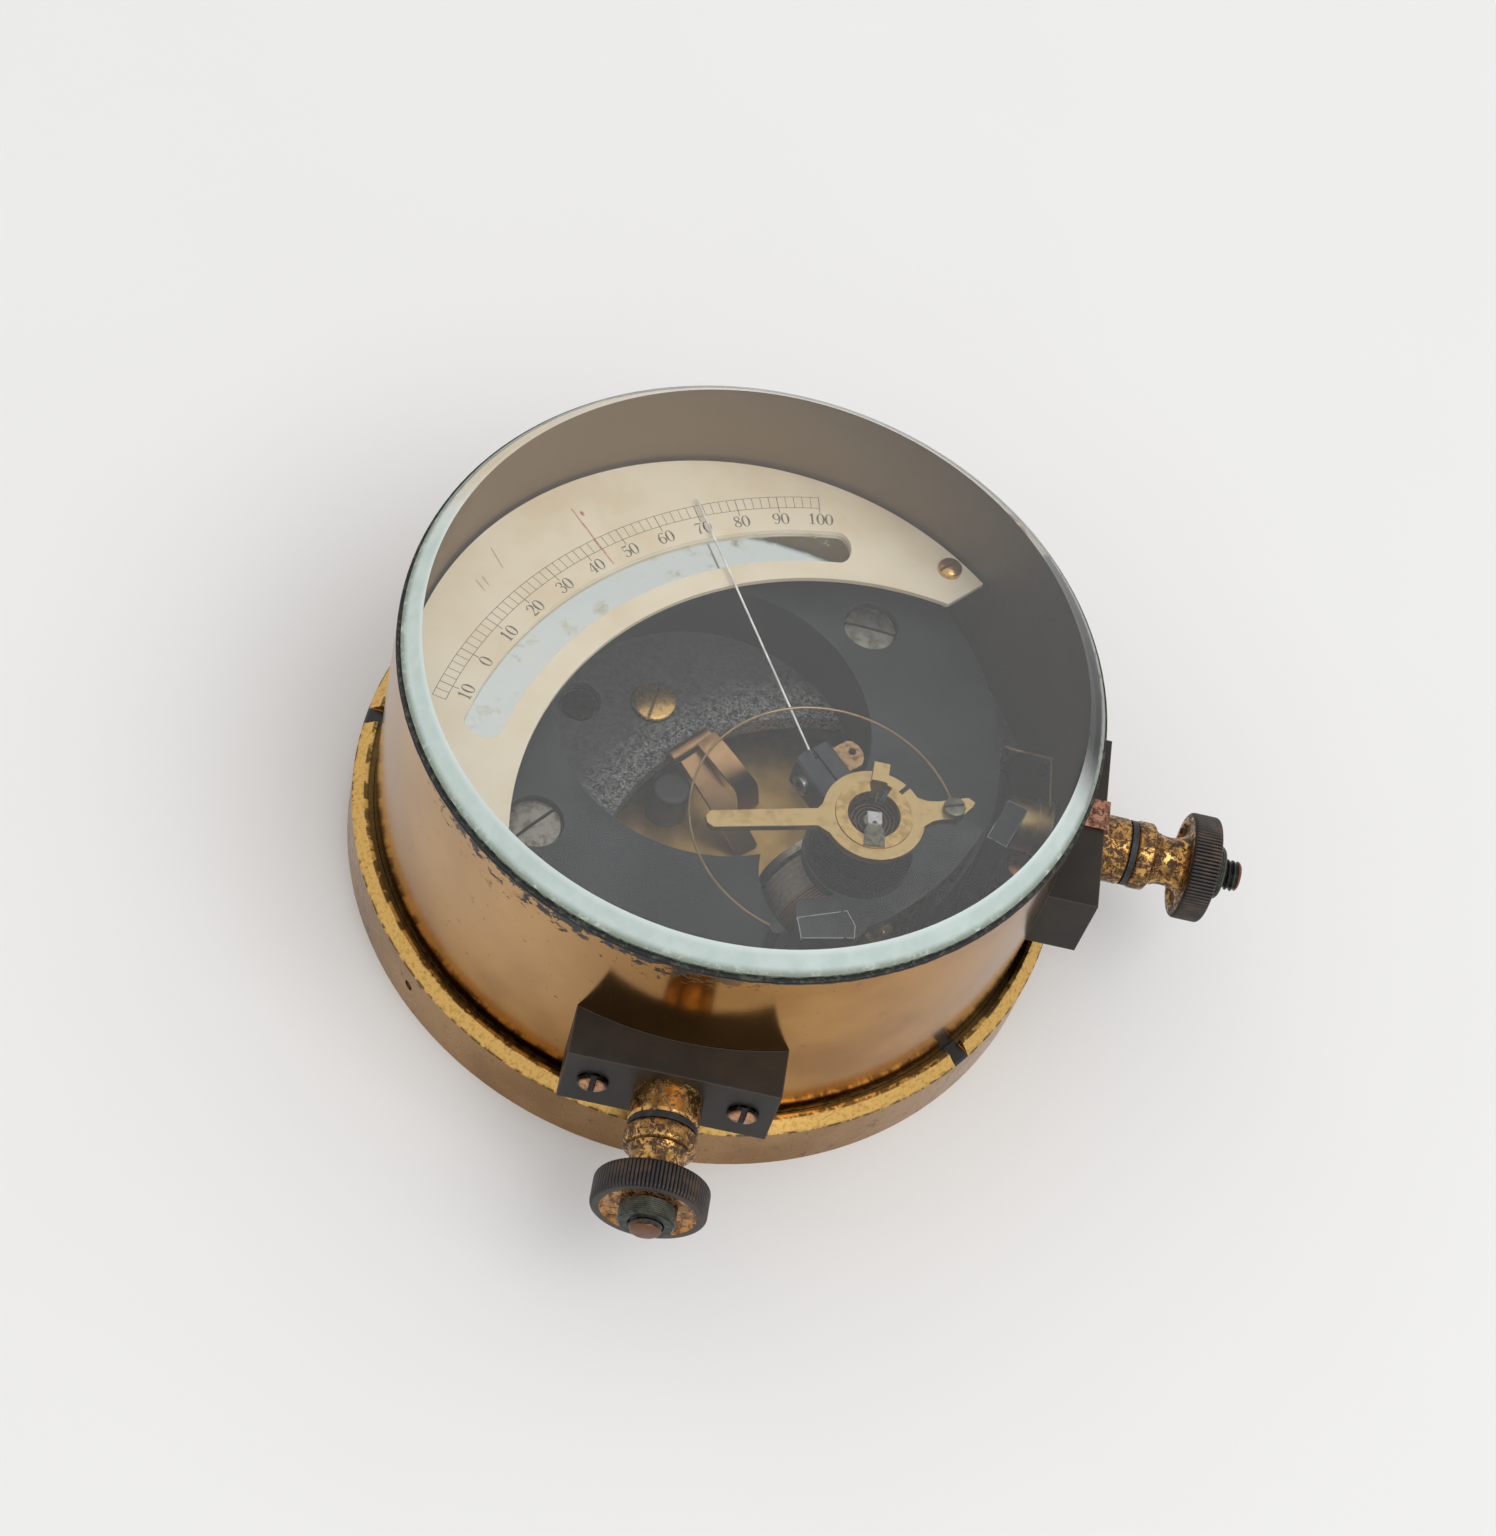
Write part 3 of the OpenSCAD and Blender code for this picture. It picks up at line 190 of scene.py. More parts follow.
class Look:
    """A Principled material and the small chains of procedural nodes that feed it."""

    def __init__(self, name, metallic=0.0, roughness=0.5):
        self.material = bpy.data.materials.new("look_" + name)
        self.material.use_nodes = True
        self.tree = self.material.node_tree
        self.shader = self.tree.nodes["Principled BSDF"]
        self.set("Metallic", metallic)
        self.set("Roughness", roughness)
        self.place = self.node("ShaderNodeTexCoord").outputs["Object"]
        self.heights = []

    def node(self, kind, **settings):
        made = self.tree.nodes.new(kind)
        for key, value in settings.items():
            setattr(made, key, value)
        return made

    def feed(self, socket, value):
        if isinstance(value, bpy.types.NodeSocket):
            self.tree.links.new(value, socket)
        elif isinstance(value, tuple) and socket.type == "RGBA" and len(value) == 3:
            socket.default_value = (*value, 1.0)
        else:
            socket.default_value = value

    def set(self, name, value):
        self.feed(self.shader.inputs[name], value)

    def sums(self, kind, a, b=0.0):
        made = self.node("ShaderNodeMath", operation=kind)
        self.feed(made.inputs[0], a)
        self.feed(made.inputs[1], b)
        return made.outputs[0]

    def plus(self, a, b):
        return self.sums("ADD", a, b)

    def minus(self, a, b):
        return self.sums("SUBTRACT", a, b)

    def times(self, a, b):
        return self.sums("MULTIPLY", a, b)

    def most(self, a, b):
        return self.sums("MAXIMUM", a, b)

    def vectors(self, kind, a, b):
        made = self.node("ShaderNodeVectorMath", operation=kind)
        self.feed(made.inputs[0], a)
        self.feed(made.inputs[1], b)
        return made

    def stretched(self, x, y, z, turn=0.0):
        """Object coordinates turned about Z and scaled, in features per mm."""
        turned = self.place
        if turn:
            rotate = self.node("ShaderNodeVectorRotate", rotation_type="Z_AXIS")
            self.feed(rotate.inputs["Vector"], self.place)
            self.feed(rotate.inputs["Angle"], -math.radians(turn))
            turned = rotate.outputs[0]
        return self.vectors("MULTIPLY", turned, (x / MM, y / MM, z / MM)).outputs[0]

    def noise(self, where, detail=2.0, rough=0.5, warp=0.0):
        """Noise at a scale in features per mm, or at given coordinates."""
        made = self.node("ShaderNodeTexNoise")
        if not isinstance(where, bpy.types.NodeSocket):
            where = self.stretched(where, where, where)
        self.feed(made.inputs["Vector"], where)
        self.feed(made.inputs["Scale"], 1.0)
        self.feed(made.inputs["Detail"], detail)
        self.feed(made.inputs["Roughness"], rough)
        self.feed(made.inputs["Distortion"], warp)
        return made.outputs[0]

    def cells(self, scale):
        """Distance from the middles of soft cells."""
        made = self.node("ShaderNodeTexVoronoi", feature="SMOOTH_F1")
        self.feed(made.inputs["Vector"], self.stretched(scale, scale, scale))
        self.feed(made.inputs["Scale"], 1.0)
        return made.outputs["Distance"]

    def step(self, value, low, high, start=0.0, end=1.0):
        """A smooth step from start to end as value goes from low to high."""
        made = self.node("ShaderNodeMapRange", interpolation_type="SMOOTHSTEP", clamp=True)
        if low > high:
            low, high, start, end = high, low, end, start
        for socket, item in zip(made.inputs, (value, low, high, start, end)):
            self.feed(socket, item)
        return made.outputs[0]

    def along(self, x, y, z, origin=(0, 0, 0)):
        """Distance in mm along a direction, from an origin in mm."""
        shifted = self.vectors("SUBTRACT", self.place, tuple(v * MM for v in origin)).outputs[0]
        return self.vectors("DOT_PRODUCT", shifted, (x / MM, y / MM, z / MM)).outputs["Value"]

    def height(self):
        return self.along(0, 0, 1)

    def radius(self, centre=(0, 0)):
        """Distance in mm from the upright line through a centre in mm."""
        ways = [self.along(*way, (*centre, 0)) for way in ((1, 0, 0), (0, 1, 0))]
        squares = [self.sums("POWER", self.sums("ABSOLUTE", way), 2.0) for way in ways]
        return self.sums("SQRT", self.plus(*squares))

    def mix(self, factor, a, b):
        made = self.node("ShaderNodeMix", data_type="RGBA")
        self.feed(made.inputs[0], factor)
        self.feed(made.inputs[6], a)
        self.feed(made.inputs[7], b)
        return made.outputs[2]

    def tones(self, value, low, high, a, b):
        """Colour a that gives way to b as value goes from low to high."""
        return self.mix(self.step(value, low, high), a, b)

    def paint(self, factor, a, b):
        self.set("Base Color", self.mix(factor, a, b))

    def roughen(self, value, share, least):
        self.set("Roughness", self.plus(self.times(value, share), least))

    def near(self, value, centre, spread):
        """1 at the centre, falling to 0 at the spread on both sides."""
        away = self.sums("ABSOLUTE", self.minus(value, centre))
        return self.step(away, 0.0, spread, 1.0, 0.0)

    def edges(self, width):
        """1 on edges rounder than the given width in mm, 0 on flats."""
        bevel = self.node("ShaderNodeBevel", samples=4)
        self.feed(bevel.inputs["Radius"], width * MM)
        plain = self.node("ShaderNodeNewGeometry").outputs["Normal"]
        match = self.vectors("DOT_PRODUCT", bevel.outputs[0], plain).outputs["Value"]
        return self.step(match, 0.99, 0.88)

    def bump(self, value, depth):
        """Adds relief of the given depth in mm."""
        made = self.node("ShaderNodeBump")
        self.feed(made.inputs["Strength"], 1.0)
        self.feed(made.inputs["Distance"], depth * MM)
        self.feed(made.inputs["Height"], value)
        if self.heights:
            self.feed(made.inputs["Normal"], self.heights[-1])
        self.heights.append(made.outputs[0])
        self.set("Normal", made.outputs[0])

    def grain(self, depth, *noise):
        self.bump(self.noise(*noise), depth)


def specks(look, scale, share, soft=0.04):
    """Small spots: 1 inside them. A higher share makes more and larger spots."""
    return look.step(look.noise(scale, 3.0, 0.6), 1.0 - share, 1.0 - share + soft)


def scratches(look, turn, scale, share):
    """Long thin lines along a direction in degrees, in the XY plane."""
    lines = look.noise(look.stretched(scale, scale * 24, scale * 4, turn), 1.0, 0.4, 0.6)
    return look.step(lines, 1.0 - share, 1.0 - share + 0.03)


def make_looks():
    looks = {}

    # Lacquered brass drum: golden brown and cloudy, with lathe lines, dark specks and black chips, a
    # painted reflection of bright light on its left front and painted shade on the inner wall
    drum = looks["drum"] = Look("lacquered_brass")
    z = drum.height()
    clouds = drum.noise(0.05, 3.0, 0.6)
    colour = drum.tones(clouds, 0.35, 0.7, (0.33, 0.155, 0.032), (0.465, 0.24, 0.060))
    # Painted reflection: the left front of the drum is made paler, as if it reflected bright light
    painted_light = drum.times(drum.step(drum.along(-0.8, -0.6, 0), 30, 52), drum.step(z, 14, 36))
    colour = drum.mix(drum.times(painted_light, 0.45), colour, (0.66, 0.46, 0.26))
    stains = drum.step(drum.noise(0.35, 4.0, 0.65), 0.62, 0.74)
    colour = drum.mix(drum.times(stains, 0.5), colour, (0.20, 0.10, 0.035))
    spots = specks(drum, 1.3, 0.285, 0.03)
    colour = drum.mix(drum.times(spots, 0.9), colour, (0.035, 0.022, 0.015))
    foot = drum.step(z, BASE_H + 1.6, BASE_H)
    foot = drum.times(foot, drum.step(drum.noise(0.8, 3.0), 0.35, 0.6))
    colour = drum.mix(foot, colour, (0.05, 0.03, 0.015))
    # Painted shade: the inner wall darkens low down, above the scale, and towards the right
    inner = drum.step(drum.radius(), DRUM_IN + 0.8, DRUM_IN + 0.3)
    shade_below = drum.step(z, 40, 14)
    shade_right = drum.step(drum.along(0.94, -0.34, 0), -20, 45)
    wall = drum.mix(drum.most(shade_below, shade_right), (0.225, 0.150, 0.070), (0.085, 0.062, 0.038))
    colour = drum.mix(inner, colour, wall)
    side = drum.step(drum.along(*heading(CHIPPED_AZ), 0), 41, 50)
    chip_field = drum.noise(drum.stretched(0.45, 0.45, 0.7), 5.0, 0.7, 0.5)
    depth = drum.plus(drum.step(z, 42.5, 49.2, 0.0, 0.22), drum.times(side, 0.12))
    chips = drum.step(drum.plus(chip_field, depth), 0.80, 0.83)
    uneven = drum.plus(z, drum.times(drum.noise(0.6, 3.0), 0.8))
    rim_line = drum.step(uneven, RIM_Z + 0.05, RIM_Z + 0.25)
    outside = drum.step(drum.radius(), DRUM_IN + 0.6, DRUM_IN + 1.0)
    chips = drum.times(drum.most(drum.times(chips, side), rim_line), outside)
    drum.paint(chips, colour, (0.018, 0.018, 0.022))
    dull = drum.most(drum.most(chips, drum.times(spots, 0.8)), drum.times(inner, 0.5))
    drum.set("Metallic", drum.minus(1.0, dull))
    rough = drum.plus(drum.times(clouds, 0.12), 0.1)
    rough = drum.plus(rough, drum.plus(drum.times(chips, 0.35), drum.times(inner, 0.34)))
    drum.set("Roughness", rough)
    lathe = drum.noise(drum.stretched(0.02, 0.02, 5.0), 1.0, 0.5)
    drum.bump(drum.times(lathe, outside), 0.004)
    drum.bump(drum.times(chips, -1.0), 0.05)

    # Base ring: brown-gold side, bright worn bevel with black edges, painted shade in the notches
    ring = looks["ring"] = Look("worn_brass")
    z = ring.height()
    worn = ring.noise(0.5, 4.0, 0.65)
    clouds = ring.step(ring.noise(0.07, 3.0), 0.35, 0.65)
    side = ring.mix(clouds, (0.30, 0.165, 0.06), (0.40, 0.235, 0.10))
    side = ring.mix(ring.times(ring.step(worn, 0.6, 0.72), 0.7), side, (0.10, 0.055, 0.025))
    rubs = ring.step(ring.noise(1.6, 4.0, 0.6), 0.46, 0.66)
    gold = ring.mix(rubs, (0.68, 0.42, 0.13), (0.52, 0.305, 0.085))
    bevel = ring.step(z, BASE_H - BEVEL_H - 0.15, BASE_H - BEVEL_H + 0.05)
    colour = ring.mix(bevel, side, gold)
    seam = ring.times(ring.near(z, BASE_H - BEVEL_H, 0.28), ring.step(worn, 0.42, 0.56))
    inside = ring.times(ring.step(ring.radius(), 53.2, 52.8), 0.85)
    top = ring.times(ring.step(z, BASE_H - 0.16, BASE_H - 0.04), ring.step(worn, 0.44, 0.56))
    black = ring.most(ring.times(seam, 0.95), ring.times(top, 0.8))
    colour = ring.mix(black, colour, (0.03, 0.02, 0.012))
    colour = ring.mix(inside, colour, (0.03, 0.02, 0.01))
    spots = specks(ring, 1.6, 0.30, 0.03)
    scored = scratches(ring, 40, 0.3, 0.30)
    marks = ring.times(ring.most(spots, ring.times(scored, 0.6)), 0.85)
    colour = ring.mix(marks, colour, (0.04, 0.028, 0.02))
    # Painted shade: the notches are filled with black and made dull, for the shadow inside them
    notch_shades = []
    for azimuth in NOTCH_AZ:
        x, y = heading(azimuth)
        across = ring.near(ring.along(-y, x, 0), 0.0, NOTCH_W / 2 + 0.25)
        out = ring.step(ring.along(x, y, 0), 40, 45)
        notch_shades.append(ring.times(ring.step(across, 0.05, 0.12), out))
    notch_shade = ring.times(ring.most(*notch_shades), ring.step(z, BASE_H - 1.9, BASE_H - 1.6))
    ring.paint(notch_shade, colour, (0.012, 0.012, 0.012))
    ring.set("Metallic", ring.minus(1.0, ring.most(notch_shade, ring.times(spots, 0.7))))
    ring.roughen(worn, 0.3, 0.12)
    ring.bump(worn, 0.012)

    # Floor brass inside: lacquered and softly reflecting, with painted shade away from the magnet's
    # opening
    floor = looks["floor_brass"] = Look("floor_brass", 1.0)
    grain = floor.noise(0.25, 4.0, 0.6)
    colour = floor.tones(grain, 0.3, 0.7, (0.46, 0.285, 0.095), (0.30, 0.175, 0.050))
    # Painted shade: the floor is made nearly black away from the magnet's opening
    away = floor.step(floor.radius(OPENING_C), OPENING_R, OPENING_R + 5)
    away = floor.times(away, floor.step(floor.radius(), DRUM_IN + 0.3, DRUM_IN - 0.1))
    colour = floor.mix(away, colour, (0.030, 0.022, 0.015))
    floor.paint(specks(floor, 1.5, 0.29), colour, (0.12, 0.08, 0.04))
    floor.roughen(grain, 0.2, 0.25)
    floor.bump(floor.noise(floor.stretched(0.3, 4.0, 1.0, 35), 1.0, 0.5), 0.006)

    # Terminal brass: gold and dark brown in fine patches
    def patched(name, share, scale):
        look = looks[name] = Look(name)
        patches = look.noise(scale, 6.0, 0.72, 0.8)
        fine = look.noise(scale * 4, 4.0, 0.7)
        mask = look.plus(patches, look.times(look.minus(fine, 0.5), 0.35))
        mask = look.step(mask, share - 0.05, share + 0.05)
        look.set("Metallic", look.minus(1.0, look.times(mask, 0.65)))
        look.roughen(mask, 0.28, 0.2)
        look.bump(mask, 0.025)
        return look, mask

    def mottled(name, gold, dark, share, scale=0.9):
        look, mask = patched(name, share, scale)
        mid = tuple(0.45 * g + 0.12 * d for g, d in zip(gold, dark))
        golden = look.mix(look.step(look.noise(scale * 0.6, 3.0), 0.4, 0.6), gold, mid)
        look.paint(mask, golden, dark)

    mottled("front_collar", (0.60, 0.335, 0.105), (0.07, 0.030, 0.013), 0.56, 0.6)
    mottled("side_collar", (0.57, 0.31, 0.095), (0.06, 0.026, 0.012), 0.51, 1.2)
    mottled("nut", (0.62, 0.345, 0.11), (0.06, 0.027, 0.013), 0.51)
    mottled("nut_face", (0.50, 0.25, 0.08), (0.10, 0.04, 0.018), 0.55)
    mottled("strip", (0.50, 0.25, 0.16), (0.06, 0.025, 0.016), 0.55, 1.4)

    # Copper-brown screws of the terminal blocks, with painted shade in their slots
    screw, _ = patched("block_screw", 0.55, 0.8)
    out = screw.most(screw.along(0, -1, 0), screw.along(1, 0, 0))
    clouds = screw.step(screw.noise(0.9, 4.0), 0.4, 0.62)
    colour = screw.mix(clouds, (0.62, 0.33, 0.17), (0.30, 0.13, 0.06))
    # Painted shade: the slots are made nearly black below the screws' faces
    slot_shade = screw.step(out, BLOCK_FACE + 0.85, BLOCK_FACE + 0.65)
    screw.paint(slot_shade, colour, (0.008, 0.006, 0.005))

    # The nuts' bosses and knurls and the studs' threads: nearly black, with green or brown wear and
    # painted highlights on the bosses' edges
    boss = looks["boss"] = Look("boss", 0.6, 0.38)
    greens = boss.step(boss.noise(0.9, 4.0), 0.42, 0.62)
    colour = boss.mix(greens, (0.016, 0.019, 0.015), (0.050, 0.058, 0.042))
    # Painted highlight: the bosses' rounded edges are made pale grey
    boss.paint(boss.times(boss.edges(0.15), 0.5), colour, (0.26, 0.25, 0.20))
    boss.grain(0.01, 2.5, 3.0)
    knurl = looks["knurl"] = Look("knurl", 0.55)
    worn = knurl.step(knurl.noise(0.5, 4.0, 0.6), 0.45, 0.7)
    knurl.paint(knurl.times(worn, 0.45), (0.036, 0.032, 0.030), (0.15, 0.085, 0.048))
    knurl.roughen(worn, 0.12, 0.36)
    knurl.grain(0.008, 3.0, 3.0)
    thread = looks["thread"] = Look("thread", 0.6)
    green = thread.step(thread.noise(0.8, 4.0), 0.45, 0.65)
    colour = thread.mix(green, (0.022, 0.024, 0.022), (0.05, 0.06, 0.048))
    tips = []
    for side, azimuth in TERMINAL_AZ.items():
        end = STUD_ENDS[side]
        tips.append(thread.step(thread.along(*heading(azimuth), 0), end - 0.9, end - 0.5))
    thread.paint(thread.most(*tips), colour, (0.15, 0.068, 0.036))
    thread.roughen(green, 0.15, 0.3)
    thread.grain(0.01, 2.5, 3.0)

    # Ebonite: brown-black, dull, with fine grain and paler edges
    ebonite = looks["ebonite"] = Look("ebonite")
    clouds = ebonite.noise(0.12, 4.0, 0.6)
    colour = ebonite.tones(clouds, 0.4, 0.7, (0.017, 0.0145, 0.0125), (0.028, 0.022, 0.016))
    dust = specks(ebonite, 2.2, 0.27, 0.05)
    colour = ebonite.mix(ebonite.times(dust, 0.35), colour, (0.16, 0.14, 0.12))
    ebonite.paint(ebonite.times(ebonite.edges(0.35), 0.55), colour, (0.12, 0.10, 0.085))
    ebonite.set("Specular IOR Level", 0.28)
    ebonite.roughen(clouds, 0.2, 0.34)
    ebonite.grain(0.01, 3.0, 3.0)

    fibre = looks["fibre"] = Look("black_fibre")
    greys = fibre.step(fibre.noise(1.2, 3.0), 0.4, 0.7)
    fibre.paint(greys, (0.008, 0.008, 0.009), (0.03, 0.03, 0.032))
    fibre.grain(0.01, 4.0, 2.0)

    cement = looks["cement"] = Look("cement", 0.0, 0.6)
    lumps = cement.noise(0.9, 4.0, 0.7)
    greens = cement.step(lumps, 0.5, 0.62)
    cement.paint(greens, (0.012, 0.013, 0.013), (0.07, 0.075, 0.055))
    cement.bump(lumps, 0.08)

    # Dark steel of the magnet: almost black, scratched and dusty
    magnet = looks["magnet"] = Look("magnet_steel", 0.35)
    clouds = magnet.noise(0.08, 4.0, 0.6)
    colour = magnet.tones(clouds, 0.35, 0.7, (0.012, 0.013, 0.016), (0.030, 0.032, 0.036))
    lint = specks(magnet, 2.6, 0.275, 0.03)
    lines = magnet.most(scratches(magnet, 20, 0.22, 0.27), scratches(magnet, 75, 0.2, 0.26))
    colour = magnet.mix(magnet.times(lines, 0.35), colour, (0.13, 0.13, 0.13))
    colour = magnet.mix(magnet.times(lint, 0.55), colour, (0.25, 0.25, 0.24))
    magnet.paint(magnet.times(magnet.edges(0.3), 0.3), colour, (0.12, 0.12, 0.12))
    magnet.roughen(clouds, 0.25, 0.3)
    magnet.grain(0.008, 1.4, 4.0, 0.65)

    # Crinkle japan of the casting: its ridges catch light, most in a band along the inner edge
    crinkle = looks["crinkle"] = Look("crinkle_black")
    folds = crinkle.cells(1.3)
    fine = crinkle.noise(1.4, 4.0, 0.65, 1.2)
    ridges = crinkle.near(fine, 0.54, 0.06)
    inner = crinkle.near(crinkle.radius(PIVOT), SHINE_R, SHINE_SPREAD)
    shine = crinkle.times(ridges, crinkle.plus(crinkle.times(inner, 0.7), 0.22))
    crinkle.paint(shine, (0.008, 0.008, 0.009), (0.30, 0.30, 0.29))
    crinkle.roughen(fine, 0.2, 0.28)
    crinkle.bump(folds, 0.12)
    crinkle.bump(fine, 0.16)

    # Blackened steel of the bridge, white where the edge is chipped
    bridge = looks["bridge"] = Look("dark_steel", 0.3)
    clouds = bridge.noise(0.3, 4.0, 0.6)
    colour = bridge.tones(clouds, 0.35, 0.7, (0.026, 0.027, 0.029), (0.048, 0.050, 0.053))
    chip = bridge.times(bridge.edges(0.32), bridge.step(bridge.noise(0.5, 3.0), 0.34, 0.42))
    raised = bridge.step(bridge.height(), BRIDGE_TOP - 0.3, BRIDGE_TOP)
    colour = bridge.mix(bridge.times(chip, raised), colour, (0.66, 0.67, 0.65))
    bridge.paint(bridge.times(specks(bridge, 2.4, 0.28), 0.5), colour, (0.2, 0.2, 0.2))
    bridge.roughen(clouds, 0.1, 0.38)
    bridge.grain(0.003, 2.6, 2.0)

    alloy = looks["alloy"] = Look("dark_alloy", 0.2)
    clouds = alloy.noise(0.5, 4.0, 0.6)
    colour = alloy.tones(clouds, 0.35, 0.7, (0.020, 0.023, 0.028), (0.045, 0.050, 0.057))
    alloy.paint(alloy.times(specks(alloy, 2.8, 0.31), 0.5), colour, (0.16, 0.17, 0.17))
    alloy.grain(0.015, 3.0, 3.0)

    # The same on the blocks by the magnet, with chipped pale edges near the top
    post = looks["post"] = Look("chipped_alloy", 0.2)
    clouds = post.noise(0.5, 4.0, 0.6)
    colour = post.tones(clouds, 0.35, 0.7, (0.022, 0.024, 0.030), (0.045, 0.048, 0.055))
    chip = post.times(post.edges(0.3), post.step(post.noise(0.35, 3.0), 0.38, 0.46))
    chip = post.times(chip, post.step(post.height(), BLOCK_TOP - 0.3, BLOCK_TOP))
    post.paint(chip, colour, (0.62, 0.62, 0.57))
    post.grain(0.015, 3.0, 3.0)

    # Smaller metal pieces: a rubbed surface, two tones and, for some, painted shade in their slots
    def rubbed(name, rough, scale, metallic=1.0, relief=0.006):
        look = looks[name] = Look(name, metallic)
        field = look.noise(scale, 5.0, 0.65)
        look.roughen(field, 0.16, rough - 0.08)
        look.grain(relief, scale * 3, 3.0)
        return look, field

    def metal(name, light, dark, rough, scale, share=0.62, metallic=1.0, relief=0.006, slot_z=None):
        look, field = rubbed(name, rough, scale, metallic, relief)
        tone = look.mix(look.step(field, share - 0.16, share + 0.08), light, dark)
        if slot_z is not None:
            # Painted shade: below slot_z the slots are made nearly black
            slot_shade = look.step(look.height(), slot_z, slot_z - 0.2)
            tone = look.mix(slot_shade, tone, (0.012, 0.011, 0.009))
        look.set("Base Color", tone)

    metal("fine_brass", (0.64, 0.45, 0.20), (0.50, 0.33, 0.13), 0.32, 0.5)
    metal("screw_brass", (0.70, 0.44, 0.15), (0.40, 0.22, 0.06), 0.25, 0.8)
    metal("copper", (0.62, 0.32, 0.17), (0.35, 0.16, 0.07), 0.32, 0.6)
    metal("leaf", (0.30, 0.178, 0.085), (0.22, 0.122, 0.056), 0.38, 0.35)
    metal("lug", (0.50, 0.31, 0.15), (0.20, 0.11, 0.05), 0.4, 0.9, 0.58)
    metal("spring", (0.16, 0.10, 0.05), (0.08, 0.05, 0.03), 0.35, 1.0)
    steel = ((0.27, 0.255, 0.215), (0.12, 0.10, 0.075), 0.36, 0.6, 0.6, 0.9, 0.012)
    metal("steel", *steel)
    metal("slotted_steel", *steel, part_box("magnet_screws")[1][2] / MM - MAGNET_SLOT)
    metal("dark_screw", (0.07, 0.06, 0.05), (0.03, 0.025, 0.02), 0.4, 0.9, 0.55, 0.7)
    metal("lead_screw", (0.17, 0.165, 0.13), (0.10, 0.095, 0.07), 0.42, 0.9, 0.55, 0.8)
    metal("silver", (0.46, 0.46, 0.44), (0.22, 0.22, 0.21), 0.38, 1.2, 0.6)
    metal("coil_ring", (0.50, 0.46, 0.37), (0.24, 0.21, 0.17), 0.45, 0.6)
    metal("dull_wire", (0.24, 0.16, 0.08), (0.12, 0.08, 0.045), 0.42, 0.6)
    metal("gold_wire", (0.34, 0.225, 0.11), (0.22, 0.14, 0.065), 0.36, 0.2)

    # The bush is bright at its mouth and blackened outside
    bush, _ = rubbed("bush", 0.35, 0.8)
    outside = bush.step(bush.radius(PIVOT), BUSH_R - 0.2, BUSH_R)
    outside = bush.times(outside, bush.step(bush.height(), BUSH_TOP, BUSH_TOP - 0.2))
    clouds = bush.step(bush.noise(0.9, 4.0), 0.4, 0.62)
    gold = bush.mix(clouds, (0.66, 0.45, 0.18), (0.48, 0.30, 0.11))
    bush.paint(outside, gold, (0.020, 0.021, 0.023))

    # Of the casting's two sunk screws one is bright and the other, on the left, dark
    sunk = looks["sunk_screw"] = Look("sunk_screw", 1.0)
    worn = sunk.noise(0.8, 5.0, 0.65)
    rubs = sunk.step(worn, 0.46, 0.7)
    bright = sunk.mix(rubs, (0.70, 0.44, 0.15), (0.40, 0.22, 0.06))
    dark = sunk.mix(rubs, (0.055, 0.042, 0.030), (0.025, 0.020, 0.016))
    tone = sunk.mix(sunk.step(sunk.along(1, 0, 0), DARK_SCREW_X, DARK_SCREW_X - 0.4), bright, dark)
    slot_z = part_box("casting_screws")[1][2] / MM - CASTING_SLOT
    # Painted shade: the slots are made nearly black below slot_z
    slot_shade = sunk.step(sunk.height(), slot_z, slot_z - 0.2)
    sunk.paint(slot_shade, tone, (0.012, 0.009, 0.006))
    sunk.roughen(worn, 0.2, 0.18)
    sunk.grain(0.006, 2.4, 3.0)

    # The staff's guard: a pale pad over the staff, and painted shade that makes it darker away from
    # the pad
    guard, field = rubbed("finger", 0.42, 1.6, 0.6, 0.02)
    pad = guard.tones(field, 0.45, 0.66, (0.50, 0.51, 0.50), (0.26, 0.26, 0.24))
    # Painted shade: away from the pad the guard is made darker and browner
    shaded_rest = guard.tones(field, 0.42, 0.62, (0.17, 0.155, 0.105), (0.075, 0.07, 0.05))
    guard.paint(guard.step(guard.radius(PIVOT), PAD_R, PAD_R + 0.5), pad, shaded_rest)

    # Coil: varnished wire behind, a wrapped band in front, both with turns along the coil's axis
    for name, light, dark, pitch, contrast, relief in (
        ("winding", (0.36, 0.19, 0.12), (0.10, 0.045, 0.03), 0.45, 0.22, 0.04),
        ("wrap", (0.34, 0.28, 0.225), (0.20, 0.155, 0.12), 0.9, 0.05, 0.002),
    ):
        look = looks[name] = Look(name)
        along = look.along(*heading(POINTER_AZ), 0, (*PIVOT, COIL_Z))
        turns = look.sums("SINE", look.times(along, 2 * math.pi / pitch))
        shade = look.plus(look.times(turns, contrast), look.times(look.noise(1.6, 4.0, 0.6), 0.8))
        look.paint(look.step(shade, 0.15, 0.75), dark, light)
        look.bump(turns, relief)

    # Cream scale, faintly foxed and dusty, with painted light towards the left front
    cream = looks["cream"] = Look("cream_scale", 0.0, 0.55)
    foxing = cream.noise(0.10, 4.0, 0.6)
    colour = cream.tones(foxing, 0.35, 0.72, (0.76, 0.66, 0.50), (0.70, 0.57, 0.39))
    # Painted light: the scale is made paler towards the left front
    painted_light = cream.times(cream.step(cream.along(-0.72, -0.7, 0), 10, 48), 0.4)
    colour = cream.mix(painted_light, colour, (0.80, 0.74, 0.62))
    spots = specks(cream, 1.7, 0.255, 0.03)
    cream.paint(cream.times(spots, 0.45), colour, (0.35, 0.26, 0.16))
    cream.grain(0.006, 1.5, 4.0, 0.6)

